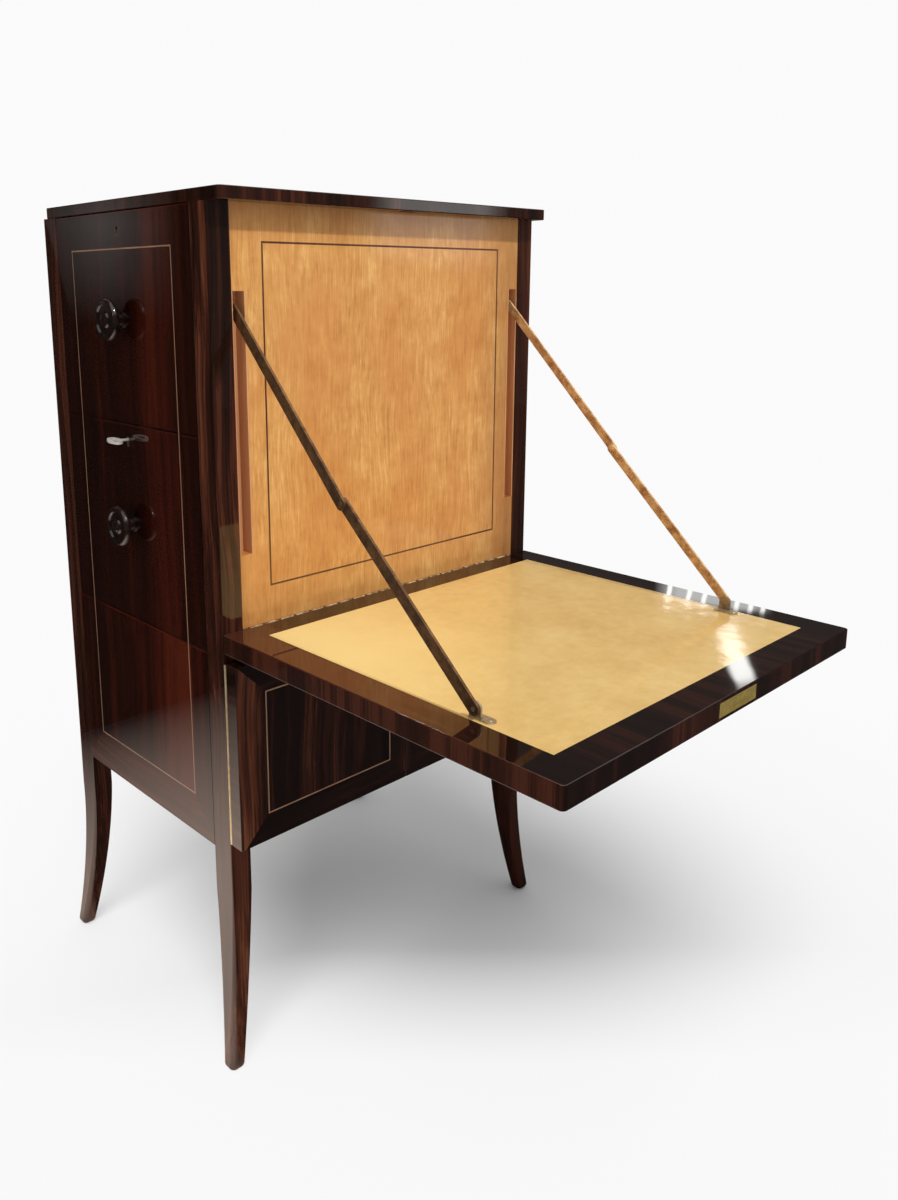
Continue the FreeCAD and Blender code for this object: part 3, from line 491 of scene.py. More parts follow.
# Bare metals
METAL_SCRATCHES = Layer(scale=900.0, detail=3.0, rough=0.6, stretch=0.08)
SCRATCH_GRAIN = "Y"
SCRATCH_ROUGHER = (-0.06, 0.12)
SCRATCH_RELIEF = Relief(depth=0.0001, strength=0.2)
METAL_STAINS = Layer(scale=70.0, detail=3.0, rough=0.5, shift=1.0, limits=(0.45, 0.7))
STAIN_SHARE = 0.7
METALS = {
    "lock_steel": Metal(
        ("door_lock", "upper_drawer_lock", "lower_drawer_lock", "door_lock_bolt",
         "upper_drawer_bolt", "lower_drawer_bolt"),
        seed=3.0, colour=srgb(170, 168, 164), rough=0.35),
    "key_nickel": Metal(("key",), seed=6.0, colour=srgb(236, 228, 218), rough=0.3, metal=0.35)}

KNOBS = ("upper_drawer_knob", "lower_drawer_knob")
ROUND_PIECES = (*KNOBS, "key", *LEG_VENEERS)


# Shader building

def add(tree, kind, inputs=None, **settings):
    """A node with its settings, and its inputs set to values or linked to other sockets."""
    made = tree.nodes.new("ShaderNode" + kind)
    for key, value in settings.items():
        setattr(made, key, value)
    set_inputs(tree, made, inputs or {})
    return made


def set_inputs(tree, made, values):
    """Sets inputs of a node, by name or number."""
    for key, value in values.items():
        connect(tree, made.inputs[key], value)


def connect(tree, socket, value):
    """Links a socket to another one, or sets its value."""
    if isinstance(value, bpy.types.NodeSocket):
        tree.links.new(value, socket)
    else:
        socket.default_value = value


def empty_tree(owner):
    """The emptied node tree of a material or of the world."""
    owner.use_nodes = True
    owner.node_tree.nodes.clear()
    return owner.node_tree


def show(tree, surface, kind="OutputMaterial"):
    """Links a surface to the output of its tree."""
    output = add(tree, kind)
    tree.links.new(surface, output.inputs["Surface"])


def new_material(name):
    """An empty material with a Principled surface, with its tree and its shader."""
    material = bpy.data.materials.new(name)
    tree = empty_tree(material)
    shader = add(tree, "BsdfPrincipled")
    show(tree, shader.outputs["BSDF"])
    return material, tree, shader


def calc(tree, operation, first, second=0.0):
    """A sum, product or comparison of two numbers or sockets."""
    return add(tree, "Math", {0: first, 1: second}, operation=operation).outputs[0]


def vector_calc(tree, operation, first, second):
    """A sum or difference of two vectors."""
    return add(tree, "VectorMath", {0: first, 1: second}, operation=operation).outputs[0]


def weighted(tree, *pairs):
    """The sum of sockets, each times its weight."""
    total = calc(tree, "MULTIPLY", *pairs[0])
    for socket, weight in pairs[1:]:
        total = calc(tree, "ADD", total, calc(tree, "MULTIPLY", socket, weight))
    return total


def blend_colour(tree, share, first, second):
    """A colour between two others."""
    made = add(tree, "Mix", data_type="RGBA")
    sockets = {socket.identifier: socket for socket in made.inputs}
    for key, value in (("Factor_Float", share), ("A_Color", first), ("B_Color", second)):
        connect(tree, sockets[key], value)
    return next(socket for socket in made.outputs if socket.identifier == "Result_Color")


def mix_surfaces(tree, share, first, second):
    """A surface between two others."""
    return add(tree, "MixShader", {0: share, 1: first, 2: second}).outputs[0]


def ramp(tree, share, stops):
    """Colours or tones along a share from 0 to 1."""
    made = add(tree, "ValToRGB", {"Fac": share})
    band = made.color_ramp
    while len(band.elements) < len(stops):
        band.elements.new(1.0)
    for element, (place, colour) in zip(band.elements, stops):
        element.position = place
        element.color = colour
    return made.outputs["Color"]


def span(tree, value, low, high, at_low=0.0, at_high=1.0):
    """Maps a value so that low becomes one number and high another, and keeps it between."""
    made = add(tree, "MapRange", {
        "Value": value, "From Min": low, "From Max": high, "To Min": at_low, "To Max": at_high})
    return made.outputs["Result"]


def choose(tree, mask, when_off, when_on):
    """One of two numbers, by a mask."""
    kept = calc(tree, "MULTIPLY", when_off, calc(tree, "SUBTRACT", 1.0, mask))
    return calc(tree, "ADD", kept, calc(tree, "MULTIPLY", when_on, mask))


def object_coords(tree):
    """Places on a piece at rest, in metres."""
    return add(tree, "TexCoord").outputs["Object"]


def axis_part(tree, vector, axis):
    """The part of a vector along an axis."""
    return add(tree, "SeparateXYZ", {0: vector}).outputs[AXES[axis]]


def noise(tree, coords, layer, seed=0.0, grain=None):
    """Soft noise, drawn out along the grain."""
    scale = [layer.scale] * len(AXES)
    if grain:
        scale[AXES[grain]] *= layer.stretch
    location = [(seed + layer.shift) * part for part in SEED_WAY]
    place = add(tree, "Mapping", {"Vector": coords, "Scale": scale, "Location": location})
    made = add(tree, "TexNoise", {
        "Vector": place.outputs["Vector"], "Scale": 1.0, "Detail": layer.detail,
        "Roughness": layer.rough})
    if layer.limits:
        return span(tree, made.outputs["Fac"], *layer.limits)
    return made.outputs["Fac"]


def noise_layers(tree, coords, layers, seed=0.0, grain=None):
    """Several layers of noise, and their weighted sum."""
    made = [noise(tree, coords, layer, seed, grain) for layer in layers]
    total = weighted(tree, *((socket, layer.weight) for socket, layer in zip(made, layers)))
    return made, total


def bump(tree, height, relief):
    """The slopes of a fine relief."""
    made = add(tree, "Bump", {
        "Height": height, "Strength": relief.strength, "Distance": relief.depth})
    return made.outputs["Normal"]


def wandering(tree, coords, seed, drift=MACASSAR_DRIFT):
    """Coordinates that drift a little sideways, so that stripes are not ruler-straight."""
    made = add(tree, "TexNoise", {
        "Vector": coords, "Scale": drift.scale, "Detail": DRIFT_DETAIL, "W": seed},
        noise_dimensions="4D")
    centred = vector_calc(tree, "SUBTRACT", made.outputs["Color"], NOISE_MIDDLE)
    small = add(tree, "VectorMath", {0: centred, "Scale": drift.reach}, operation="SCALE").outputs[0]
    return vector_calc(tree, "ADD", coords, small)


# Macassar veneer

def stripe_tone(tree, coords, grain, seed):
    """How light the veneer is: broad bands, narrow stripes and fine lines along the grain."""
    return noise_layers(tree, coords, MACASSAR_LAYERS, seed, grain)[1]


def string_distances(tree, coords, border):
    """How far a place lies outside the string rectangle, sideways and up or down."""
    distances = []
    for axis, low, high in zip((border.across, border.up), border.low, border.high):
        place = axis_part(tree, coords, axis)
        before = calc(tree, "SUBTRACT", low, place)
        after = calc(tree, "SUBTRACT", place, high)
        distances.append(calc(tree, "MAXIMUM", before, after))
    return distances


def border_masks(tree, coords, border):
    """1 inside the string rectangle, and 1 in the mitred strips under and over it."""
    beside, beyond = string_distances(tree, coords, border)
    field = calc(tree, "LESS_THAN", calc(tree, "MAXIMUM", beside, beyond), 0.0)
    outside = calc(tree, "GREATER_THAN", beyond, 0.0)
    strips = calc(tree, "MULTIPLY", outside, calc(tree, "GREATER_THAN", beyond, beside))
    return field, strips


def facing_mask(tree, axis):
    """1 on the faces that look along an axis, either way."""
    normal = add(tree, "TexCoord").outputs["Normal"]
    part = axis_part(tree, normal, axis)
    return calc(tree, "GREATER_THAN", calc(tree, "ABSOLUTE", part), FACING_LIMIT)


def soft_band(tree, coords, band):
    """1 in the middle of a band, falling softly to 0 at its sides."""
    offset = calc(tree, "SUBTRACT", axis_part(tree, coords, band.axis), band.middle)
    away = calc(tree, "ABSOLUTE", offset)
    return span(tree, away, band.half * BAND_CORE_SHARE, band.half, 1.0, 0.0)


def streak_tone(tree, coords, streaks):
    """How much lighter or darker a place is for the streaks that it lies in."""
    total = 0.0
    for streak in streaks:
        lift = streak.share
        for band in streak.bands:
            lift = calc(tree, "MULTIPLY", lift, soft_band(tree, coords, band))
        total = calc(tree, "ADD", total, lift)
    return total


def veneer_tone(tree, coords, veneer):
    """How light a veneer is, with its border, edges and streaks."""
    seed = veneer.seed
    drifted = wandering(tree, coords, seed)
    tone = calc(tree, "ADD", stripe_tone(tree, drifted, veneer.grain, seed),
                streak_tone(tree, drifted, veneer.flames))
    if veneer.border:
        field, strips = border_masks(tree, coords, veneer.border)
        field_lift, strip_lift = veneer.lifts
        tone = calc(tree, "ADD", tone, calc(tree, "MULTIPLY", field, field_lift))
        strip_tone = stripe_tone(tree, drifted, veneer.border.grain, seed + BORDER_SEED_SHIFT)
        tone = choose(tree, strips, tone, calc(tree, "ADD", strip_tone, strip_lift))
    if veneer.edges:
        edge = calc(tree, "SUBTRACT", 1.0, facing_mask(tree, veneer.edges.facing))
        edge_tone = stripe_tone(tree, coords, veneer.edges.grain, seed + EDGE_SEED_SHIFT)
        tone = choose(tree, edge, tone, edge_tone)
    return calc(tree, "ADD", tone, streak_tone(tree, coords, veneer.lines))


def macassar(name, veneer):
    """Polished Macassar veneer, with its pores and the slight waves of the polish."""
    material, tree, shader = new_material(name)
    coords = object_coords(tree)
    tone = span(tree, veneer_tone(tree, coords, veneer), 0.0, 1.0, *veneer.shades)
    pores = noise(tree, coords, MACASSAR_PORES, veneer.seed, veneer.grain)
    waves = noise(tree, coords, POLISH_WAVES, veneer.seed)
    set_inputs(tree, shader, {
        **POLISH, "Base Color": ramp(tree, tone, veneer.stops),
        "Normal": bump(tree, pores, PORE_RELIEF), "Coat Normal": bump(tree, waves, WAVE_RELIEF)})
    return material


# Other materials

def maple(name, grain, corner):
    """Golden veneer of the inside, with painted shade and shadow toward the right, upper corner of its
    panel.
    """
    material, tree, shader = new_material(name)
    coords = wandering(tree, object_coords(tree), MAPLE_SEED, MAPLE_DRIFT)
    layers, tone = noise_layers(tree, coords, MAPLE_LAYERS, MAPLE_SEED, grain)
    fine, _, _, patches, _ = layers
    orange = span(tree, patches, *ORANGE_LIMITS, ORANGE_SHARE, 0.0)
    colour = blend_colour(tree, orange, ramp(tree, tone, MAPLE_STOPS), ORANGE_MAPLE)
    # Painted shade beside the right post and painted shadow under the overhanging top, as a browner
    # colour
    right, _, top = corner
    shade_by_post = span(tree, axis_part(tree, coords, "X"), right - PAINTED_SHADE_WIDTH, right,
                    0.0, PAINTED_SHADE_SHARE)
    shadow_under_top = span(tree, axis_part(tree, coords, "Z"), top - PAINTED_SHADOW_HEIGHT, top,
                  0.0, PAINTED_SHADOW_SHARE)
    colour = blend_colour(tree, calc(tree, "MAXIMUM", shade_by_post, shadow_under_top), colour, MAPLE_PAINTED_SHADE)
    waves = noise(tree, coords, MAPLE_WAVES, MAPLE_SEED)
    set_inputs(tree, shader, {
        **MAPLE_POLISH, "Base Color": colour, "Normal": bump(tree, fine, MAPLE_RELIEF),
        "Coat Normal": bump(tree, waves, MAPLE_WAVE_RELIEF)})
    return material


def plain_wood(name, wood):
    """Wood with a simple grain: the carcass, the trays and the strings."""
    material, tree, shader = new_material(name)
    coords = wandering(tree, object_coords(tree), wood.seed)
    (fine, _), tone = noise_layers(tree, coords, (WOOD_STREAKS, WOOD_BANDS), wood.seed, wood.grain)
    stops = zip(WOOD_TONES, (wood.dark, wood.light))
    set_inputs(tree, shader, {
        "Base Color": ramp(tree, tone, tuple(stops)), "Roughness": wood.rough,
        "Coat Weight": wood.coat, "Coat Roughness": WOOD_COAT_ROUGHNESS,
        "Normal": bump(tree, fine, WOOD_RELIEF)})
    return material


def parchment(name, corner):
    """Glazed skin, paler toward the left and the rear. corner is its left, front corner."""
    material, tree, shader = new_material(name)
    coords = object_coords(tree)
    tone = noise_layers(tree, coords, (SKIN_CLOUDS, SKIN_VEINS))[1]
    specks = noise(tree, coords, SKIN_SPECKS)
    colour = blend_colour(tree, specks, ramp(tree, tone, SKIN_STOPS), SPECK_COLOUR)
    left, front, _ = corner
    pale_x = [left + distance for distance in PALE_FROM_LEFT]
    pale_y = [front + distance for distance in PALE_FROM_FRONT]
    to_left = span(tree, axis_part(tree, coords, "X"), *pale_x, PALE_SHARE, 0.0)
    to_rear = span(tree, axis_part(tree, coords, "Y"), *pale_y)
    colour = blend_colour(tree, calc(tree, "MULTIPLY", to_left, to_rear), colour, PALE_SKIN)
    waves = noise(tree, coords, SKIN_WAVES)
    set_inputs(tree, shader, {
        **SKIN_GLAZE, "Base Color": colour, "Coat Normal": bump(tree, waves, SKIN_RELIEF)})
    return material


def worn_brass(name, brass):
    """Brass with brown patina between brighter, rubbed patches."""
    material, tree, shader = new_material(name)
    coords = object_coords(tree)
    (_, grime), tone = noise_layers(tree, coords, (BRASS_PATCHES, BRASS_GRIME), brass.seed)
    wear = span(tree, tone, *brass.wear)
    # On a piano hinge, bright patches only on the knuckles as painted glints, dull between them
    if brass.knuckle_axis:
        turns = calc(tree, "DIVIDE", axis_part(tree, coords, brass.knuckle_axis), KNUCKLE_PITCH)
        on_knuckle = calc(tree, "LESS_THAN", calc(tree, "FRACT", turns), KNUCKLE_SHARE)
        wear = calc(tree, "MULTIPLY", wear, on_knuckle)
    set_inputs(tree, shader, {
        "Base Color": blend_colour(tree, wear, brass.dull, brass.bright), "Metallic": brass.metal,
        "Roughness": span(tree, wear, 0.0, 1.0, brass.rough + DULL_BRASS_ROUGHER, brass.rough),
        "Normal": bump(tree, grime, BRASS_RELIEF)})
    return material


def plain_metal(name, metal):
    """Bare metal with fine scratches and darker stains."""
    material, tree, shader = new_material(name)
    coords = object_coords(tree)
    scratches = noise(tree, coords, METAL_SCRATCHES, metal.seed, SCRATCH_GRAIN)
    stains = noise(tree, coords, METAL_STAINS, metal.seed)
    *parts, alpha = metal.colour
    stained = (*(part * STAIN_SHARE for part in parts), alpha)
    smoother, rougher = SCRATCH_ROUGHER
    set_inputs(tree, shader, {
        "Base Color": blend_colour(tree, stains, metal.colour, stained), "Metallic": metal.metal,
        "Roughness": span(tree, scratches, 0.0, 1.0, metal.rough + smoother, metal.rough + rougher),
        "Normal": bump(tree, scratches, SCRATCH_RELIEF)})
    return material


def ebony(name):
    """Polished ebony for turned knobs."""
    material, tree, shader = new_material(name)
    fine = noise(tree, object_coords(tree), EBONY_STREAKS, grain="X")
    set_inputs(tree, shader, {
        **EBONY_POLISH, "Base Color": ramp(tree, fine, EBONY_STOPS),
        "Normal": bump(tree, fine, EBONY_RELIEF)})
    return material


# Dressing the pieces

def paint(material, *names):
    """Gives CAD nodes a material."""
    for name in names:
        slots = nodes[name].data.materials
        slots.clear()
        slots.append(material)


def string_corners(node, across, up):
    """The corners of a string rectangle, in two axes of its face."""
    low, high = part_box(node)
    first, second = AXES[across], AXES[up]
    return (low[first], low[second]), (high[first], high[second])


def seam_lines(node):
    """A painted highlight along the upper edge of a drawer front or panel, and the dark line along its
    lower edge.
    """
    low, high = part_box(node)
    # Painted highlight where the upper arris would catch light
    edge_highlight = Streak(EDGE_HIGHLIGHT_SHARE, (Band("Z", high[2], SEAM_WIDTH),))
    dark = Streak(SEAM_SHARE, (Band("Z", low[2], SEAM_WIDTH),))
    return edge_highlight, dark


def dress_legs():
    """The four legs, each with stripes of its own."""
    for name, (seed, shades) in LEG_VENEERS.items():
        paint(macassar(name + "_veneer", Veneer(BROWN_MACASSAR, "Z", seed, shades)), name)


def dress_sides():
    """One sheet of veneer down the drawer fronts and the panel below them, and the right side."""
    low = string_corners("left_panel_string", "Y", "Z")[0]
    high = string_corners("upper_drawer_string", "Y", "Z")[1]
    border = Border("Y", "Z", low, (high[0], cad_high[2]), grain="Y")
    red_band = Band("Y", low[0] + RED_STREAK_INSET, RED_STREAK_HALF)
    bright_band = Band("Y", low[0] + BRIGHT_STREAK_INSET, BRIGHT_STREAK_HALF)
    red = Streak(RED_STREAK_SHARE, (red_band,))
    bright = Streak(BRIGHT_STREAK_SHARE, (bright_band,))
    fronts = (
        ("upper_drawer_front", (-0.05, 0.54), (red,)),
        ("lower_drawer_front", (-0.1, 0.52), (red,)),
        ("left_lower_panel", (-0.04, 0.62), (red, bright)))
    for name, shades, flames in fronts:
        veneer = Veneer(RED_MACASSAR, "Z", seed=21.0, shades=shades, border=border,
                        lifts=(0.0, LEVEL_STRIP_LIFT), flames=flames, lines=seam_lines(name))
        paint(macassar(name + "_veneer", veneer), name)
    right = Veneer(RED_MACASSAR, "Z", seed=33.0, shades=(-0.06, 0.56), border=border)
    paint(macassar("right_side_veneer", right), "right_side_panel")


def dress_doors():
    """The doors: dark fields and strips, and a lighter flame in the border beside the hinge."""
    for side, (seed, share) in DOOR_FLAMES.items():
        low, high = string_corners(f"{side}_door_string", "X", "Z")
        door_low, door_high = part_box(f"{side}_door_panel")
        sides = (door_low[0], low[0]) if side == "left" else (door_high[0], high[0])
        flame = Streak(share, (Band("X", sum(sides) / 2, DOOR_FLAME_HALF),))
        veneer = Veneer(
            BROWN_MACASSAR, "Z", seed, shades=(-0.02, 0.95), edges=Edges("Y", "Y"),
            border=Border("X", "Z", low, high, grain="X"), lifts=DOOR_LIFTS, flames=(flame,))
        paint(macassar(f"{side}_door_veneer", veneer), f"{side}_door_panel")


def dress_flap():
    """The flap, lighter along the left of its inner face and on its left edge."""
    low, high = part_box("fall_panel")
    light_side = Streak(LIGHT_SIDE_SHARE, (
        Band("X", low[0] + LIGHT_SIDE_INSET, LIGHT_SIDE_HALF),
        Band("Y", high[1] - LIGHT_SIDE_FROM_REAR, LIGHT_SIDE_REACH),
        Band("Z", high[2], INNER_FACE_DEPTH)))
    light_edge = Streak(LIGHT_EDGE_SHARE, (Band("X", low[0], EDGE_DEPTH),))
    veneer = Veneer(BROWN_MACASSAR, "Y", seed=61.0, shades=(-0.08, 0.62), edges=Edges("Z", "Z"),
                    lines=(light_side, light_edge))
    paint(macassar("fall_veneer", veneer), "fall_panel")


def dress_boards():
    """The top, and the rail and bottom under the flap."""
    top = Veneer(BROWN_MACASSAR, "Y", seed=71.0, shades=(-0.02, 0.74), edges=Edges("Z", "Z"))
    paint(macassar("top_veneer", top), "top_board")
    rail = Veneer(RED_MACASSAR, "X", seed=83.0, shades=(0.02, 0.8))
    paint(macassar("rail_veneer", rail), "front_rail", "bottom_board")


def dress_inside():
    """The interior panel, the sheet, the knobs and all plain wood."""
    paint(maple("interior_maple", "Z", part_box("interior_panel")[1]), "interior_panel", "slot_fillers")
    for name, wood in WOODS.items():
        paint(plain_wood(name, wood), *wood.pieces)
    paint(ebony("knob_ebony"), *KNOBS)
    paint(parchment("writing_parchment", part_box("writing_surface")[0]), "writing_surface")


def dress_metals():
    """Brass and bare metal, with the screws that are made here."""
    brasses = {name: worn_brass(name, brass) for name, brass in BRASSES.items()}
    for name, brass in BRASSES.items():
        paint(brasses[name], *brass.pieces)
    make_bracket_screws(brasses["bracket_brass"])
    make_back_screws(brasses["thread_brass"])
    for name, metal in METALS.items():
        paint(plain_metal(name, metal), *metal.pieces)


def smooth_round_pieces():
    """Smooth shading on the turned and curved pieces."""
    for name in ROUND_PIECES:
        nodes[name].data.shade_smooth()


# New pieces

def link_object(name, data):
    """A new object in the scene."""
    made = bpy.data.objects.new(name, data)
    bpy.context.scene.collection.objects.link(made)
    return made


def new_piece(name, mesh, material):
    """A new object in the scene, of one material."""
    mesh.materials.append(material)
    return link_object(name, mesh)


# Screws

def half_outline(share, turn):
    """The outline of half a screw head beside its slot, drawn in by a share about its own middle."""
    start = math.asin(SCREW_SLOT / 2 / SCREW_RADIUS)
    step = (math.pi - 2 * start) / (SCREW_POINTS - 1)
    middle = SCREW_RADIUS / 2
    points = []
    for index in range(SCREW_POINTS):
        angle = start + step * index
        x = SCREW_RADIUS * math.cos(angle) * share
        y = middle + (SCREW_RADIUS * math.sin(angle) - middle) * share
        points.append((x, y) if turn else (-x, -y))
    return points


def half_head(shape, turn):
    """Half a screw head with a chamfer all around its top, open toward the slot at its foot.

    Gives the points of its base and those at the height of the slot's floor."""
    levels = (
        (1.0, 0.0), (1.0, SCREW_FLOOR_SHARE), (1.0, SCREW_RIM_SHARE), (SCREW_CROWN_SHARE, 1.0))
    rings = []
    for share, rise in levels:
        outline = half_outline(share, turn)
        rings.append([shape.verts.new((x, y, rise * SCREW_HEIGHT)) for x, y in outline])
    for level, (lower, upper) in enumerate(zip(rings, rings[1:])):
        first = 0 if level == 0 else -1
        for index in range(first, SCREW_POINTS - 1):
            shape.faces.new((lower[index], lower[index + 1], upper[index + 1], upper[index]))
    shape.faces.new(rings[-1])
    return rings[0], rings[1]


def close_slot(shape, base, floor, other_base, other_floor):
    """Joins two halves of a screw head: the floor of the slot, its two ends and the underside."""
    shape.faces.new((floor[0], floor[-1], other_floor[0], other_floor[-1]))
    shape.faces.new((base[0], floor[0], other_floor[-1], other_base[-1]))
    shape.faces.new((base[-1], other_base[0], other_floor[0], floor[-1]))
    shape.faces.new(base + other_base)


def slotted_screw(name, place, turn, body, material):
    """A low round head with a slot. It lies level, until it is turned."""
    shape = bmesh.new()
    close_slot(shape, *half_head(shape, True), *half_head(shape, False))
    bmesh.ops.recalc_face_normals(shape, faces=shape.faces[:])
    mesh = bpy.data.meshes.new(name)
    shape.to_mesh(mesh)
    shape.free()
    screw = new_piece(name, mesh, material)
    screw.location = place
    screw.rotation_euler = turn
    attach(screw, body)


def make_bracket_screws(material):
    """A screw in the tongue of each stay bracket."""
    low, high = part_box("stay_brackets")
    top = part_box("writing_surface")[1][2] + TONGUE_THICKNESS
    for side, x in (("left", low[0] + SCREW_FROM_SIDE), ("right", high[0] - SCREW_FROM_SIDE)):
        place = (x, low[1] + SCREW_FROM_FRONT, top)
        slotted_screw(f"{side}_bracket_screw", place, LEVEL, "fall", material)


def make_back_screws(material):
    """Screws along the two upright sides of the back panel."""
    low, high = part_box("back_panel")
    rise = (high[2] - low[2] - 2 * BACK_SCREW_INSET) / (BACK_SCREW_ROWS - 1)
    for side, x in (("left", low[0] + BACK_SCREW_INSET), ("right", high[0] - BACK_SCREW_INSET)):
        for row in range(BACK_SCREW_ROWS):
            place = (x, high[1], low[2] + BACK_SCREW_INSET + rise * row)
            slotted_screw(f"{side}_back_screw_{row}", place, TO_REAR, "carcass", material)


# Studio

def direction(azimuth, elevation):
    """The unit vector toward an azimuth and elevation in degrees."""
    turn, rise = math.radians(azimuth), math.radians(elevation)
    return Vector((math.sin(turn) * math.cos(rise), math.cos(turn) * math.cos(rise), math.sin(rise)))


def make_camera():
    """The camera where the photograph was taken, with its lens and framing."""
    data = bpy.data.cameras.new("camera")
    data.sensor_width = SENSOR
    data.lens = SENSOR * FOCAL_PIXELS / IMAGE_HEIGHT
    data.shift_x = (IMAGE_WIDTH / 2 - CENTRE_PIXEL[0]) / IMAGE_HEIGHT
    data.shift_y = (CENTRE_PIXEL[1] - IMAGE_HEIGHT / 2) / IMAGE_HEIGHT
    camera = link_object("camera", data)
    ahead = direction(math.degrees(CAMERA_YAW), math.degrees(CAMERA_PITCH))
    level = Vector((math.cos(CAMERA_YAW), -math.sin(CAMERA_YAW), 0))
    upward = level.cross(ahead)
    right = level * math.cos(CAMERA_ROLL) + upward * math.sin(CAMERA_ROLL)
    up = upward * math.cos(CAMERA_ROLL) - level * math.sin(CAMERA_ROLL)
    turn = Matrix((right, up, -ahead)).transposed().to_4x4()
    camera.matrix_world = Matrix.Translation(CAMERA_PLACE) @ turn
    bpy.context.scene.camera = camera


def make_world():
    """A white backdrop for camera, gloss and glass, and a softer dome that gives the light."""
    world = bpy.data.worlds.new("studio")
    bpy.context.scene.world = world
    tree = empty_tree(world)
    path = add(tree, "LightPath").outputs
    seen = calc(tree, "MAXIMUM", path["Is Camera Ray"], path["Is Glossy Ray"])
    seen = calc(tree, "MAXIMUM", seen, path["Is Transmission Ray"])
    shown = add(tree, "Background", {"Color": BACKDROP_COLOUR, "Strength": 1.0}).outputs[0]
    dome = add(tree, "Background", {"Color": DOME_COLOUR, "Strength": DOME_LIGHT}).outputs[0]
    show(tree, mix_surfaces(tree, seen, dome, shown), "OutputWorld")


def stage_piece(name, points, faces, material):
    """A piece of the studio, which is not part of the desk."""
    mesh = bpy.data.meshes.new(name)
    mesh.from_pydata(points, [], faces)
    piece = new_piece(name, mesh, material)
    return piece


def rectangle(width, height):
    """The corners of a rectangle around the origin, and its face."""
    x, y = width / 2, height / 2
    return [(-x, -y, 0), (x, -y, 0), (x, y, 0), (-x, y, 0)], [(0, 1, 2, 3)]


def floor_fade(tree):
    """How far a place on the floor has faded to white: as far as the strongest fade there."""
    coords = object_coords(tree)
    x, y = axis_part(tree, coords, "X"), axis_part(tree, coords, "Y")
    faded = 0.0
    for fade in FLOOR_FADES:
        place = weighted(tree, *zip((x, y), fade.way))
        reached = span(tree, place, fade.start, fade.end, 0.0, fade.share)
        faded = calc(tree, "MAXIMUM", faded, reached)
    return faded


def floor_material():
    """A pale matt floor that fades to the backdrop, and that polish mirrors as dark."""
    material = bpy.data.materials.new("studio_floor")
    tree = empty_tree(material)
    path = add(tree, "LightPath").outputs
    tone = span(tree, path["Is Glossy Ray"], 0.0, 1.0, FLOOR_TONE, FLOOR_GLOSS_TONE)
    lit = add(tree, "BsdfDiffuse", {"Color": tone}).outputs[0]
    white = add(tree, "Emission", {"Color": BACKDROP_COLOUR, "Strength": 1.0}).outputs[0]
    seen = calc(tree, "MULTIPLY", floor_fade(tree), path["Is Camera Ray"])
    show(tree, mix_surfaces(tree, seen, lit, white))
    return material


def make_floor():
    """The floor, which reaches beyond what the camera sees."""
    points, faces = rectangle(2 * FLOOR_REACH, 2 * FLOOR_REACH)
    return stage_piece("floor", points, faces, floor_material())


def glow_material(name, colour, size=None, soft=None):
    """Plain light of a colour, which fades out toward the sides of a card."""
    material = bpy.data.materials.new(name)
    tree = empty_tree(material)
    surface = add(tree, "Emission", {"Color": (*colour, 1.0), "Strength": 1.0}).outputs[0]
    if soft:
        coords = object_coords(tree)
        shares = []
        for axis, length, fade in zip("XY", size, soft):
            away = calc(tree, "ABSOLUTE", axis_part(tree, coords, axis))
            shares.append(span(tree, calc(tree, "SUBTRACT", length / 2, away), 0.0, fade))
        clear = add(tree, "BsdfTransparent").outputs[0]
        surface = mix_surfaces(tree, calc(tree, "MULTIPLY", *shares), clear, surface)
    show(tree, surface)
    return material


def only_in_gloss(piece):
    """Leaves a studio piece to polished surfaces: it gives no light and casts no shadow."""
    piece.visible_camera = False
    piece.visible_diffuse = False
    piece.visible_shadow = False


def make_room():
    """The dark walls around the desk, one of them close behind it."""
    points = []
    for index in range(ROOM_SIDES):
        turn = 2 * math.pi * index / ROOM_SIDES
        x, y = ROOM_RADIUS * math.cos(turn), ROOM_RADIUS * math.sin(turn)
        points += [(x, y, 0), (x, y, ROOM_HEIGHT)]
    count = len(points)
    faces = [(i, (i + 2) % count, (i + 3) % count, i + 1) for i in range(0, count, 2)]
    only_in_gloss(stage_piece("room", points, faces, glow_material("room_wall", ROOM_TONE)))
    left, right = -ROOM_RADIUS, BACK_WALL_RIGHT
    wall = [(left, BACK_WALL_Y, 0), (right, BACK_WALL_Y, 0), (right, BACK_WALL_Y, ROOM_HEIGHT),
            (left, BACK_WALL_Y, ROOM_HEIGHT)]
    material = glow_material("back_wall", BACK_WALL_TONE)
    only_in_gloss(stage_piece("back_wall", wall, [(0, 1, 2, 3)], material))


def gloss_card(name, colour, size, soft):
    """A glowing card around the origin that polished surfaces mirror."""
    card = stage_piece(name, *rectangle(*size), glow_material(name, colour, size, soft))
    only_in_gloss(card)
    return card


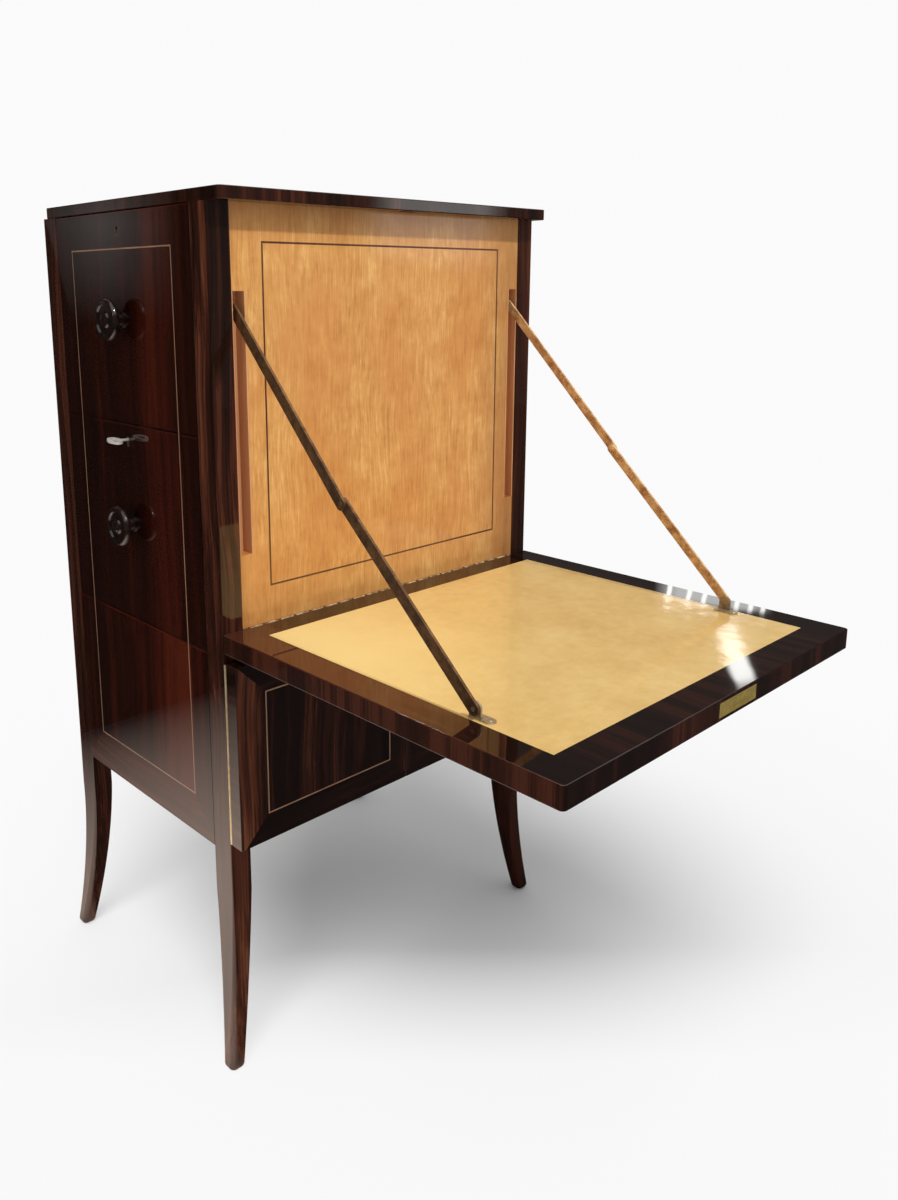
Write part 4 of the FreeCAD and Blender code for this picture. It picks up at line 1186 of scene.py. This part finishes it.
def make_sunlit_floor():
    """A lit stretch of floor to the left of the desk."""
    size = [high - low for low, high in zip(SUNLIT_LOW, SUNLIT_HIGH)]
    x, y = [(low + high) / 2 for low, high in zip(SUNLIT_LOW, SUNLIT_HIGH)]
    gloss_card("sunlit_floor", SUNLIT_TONE, size, SUNLIT_SOFT).location = (x, y, SUNLIT_LIFT)


def hang_window(name, window):
    """A card as wide and tall as the window looks from its spot on the desk."""
    angles = (window.wide, window.tall)
    size = [2 * window.distance * math.tan(math.radians(angle / 2)) for angle in angles]
    soft = [length * window.soft_share for length in size]
    colour = [part * window.strength for part in WINDOW_LIGHT]
    card = gloss_card(name, colour, size, soft)
    toward = direction(window.azimuth, window.elevation)
    turn = (-toward).to_track_quat("Z", "Y").to_matrix().to_4x4()
    place = Matrix.Translation(Vector(window.spot) + window.distance * toward)
    card.matrix_world = place @ turn @ Matrix.Rotation(math.radians(window.roll), 4, "Z")


def make_windows():
    """The bright windows of the room that show in the polish."""
    for name, window in WINDOWS.items():
        hang_window(name, window)
    for index, azimuth in enumerate(BORDER_PANE_AZIMUTHS):
        hang_window(f"border_pane_{index}", BORDER_PANE._replace(azimuth=azimuth))


def make_lamp(name, lamp, floor, floor_link):
    """A distant lamp, for the floor alone or for all but the floor."""
    data = bpy.data.lights.new(name, "SUN")
    data.energy = lamp.strength
    data.angle = lamp.angle
    made = link_object(name, data)
    made.rotation_mode = "QUATERNION"
    made.rotation_quaternion = (-lamp.source).to_track_quat("-Z", "Y")
    lit = bpy.data.collections.new(name + "_receivers")
    lit.objects.link(floor)
    lit.collection_objects[0].light_linking.link_state = floor_link
    made.light_linking.receiver_collection = lit


def make_lamps(floor):
    """A crisp light from the front on the desk, and a soft one from above that shades the floor."""
    make_lamp("key_light", KEY_LIGHT, floor, "EXCLUDE")
    make_lamp("floor_light", FLOOR_LIGHT, floor, "INCLUDE")


dress_legs()
dress_sides()
dress_doors()
dress_flap()
dress_boards()
dress_inside()
dress_metals()
smooth_round_pieces()
make_camera()
make_world()
make_room()
make_sunlit_floor()
make_windows()
make_lamps(make_floor())
bpy.context.scene.view_settings.view_transform = "Standard"
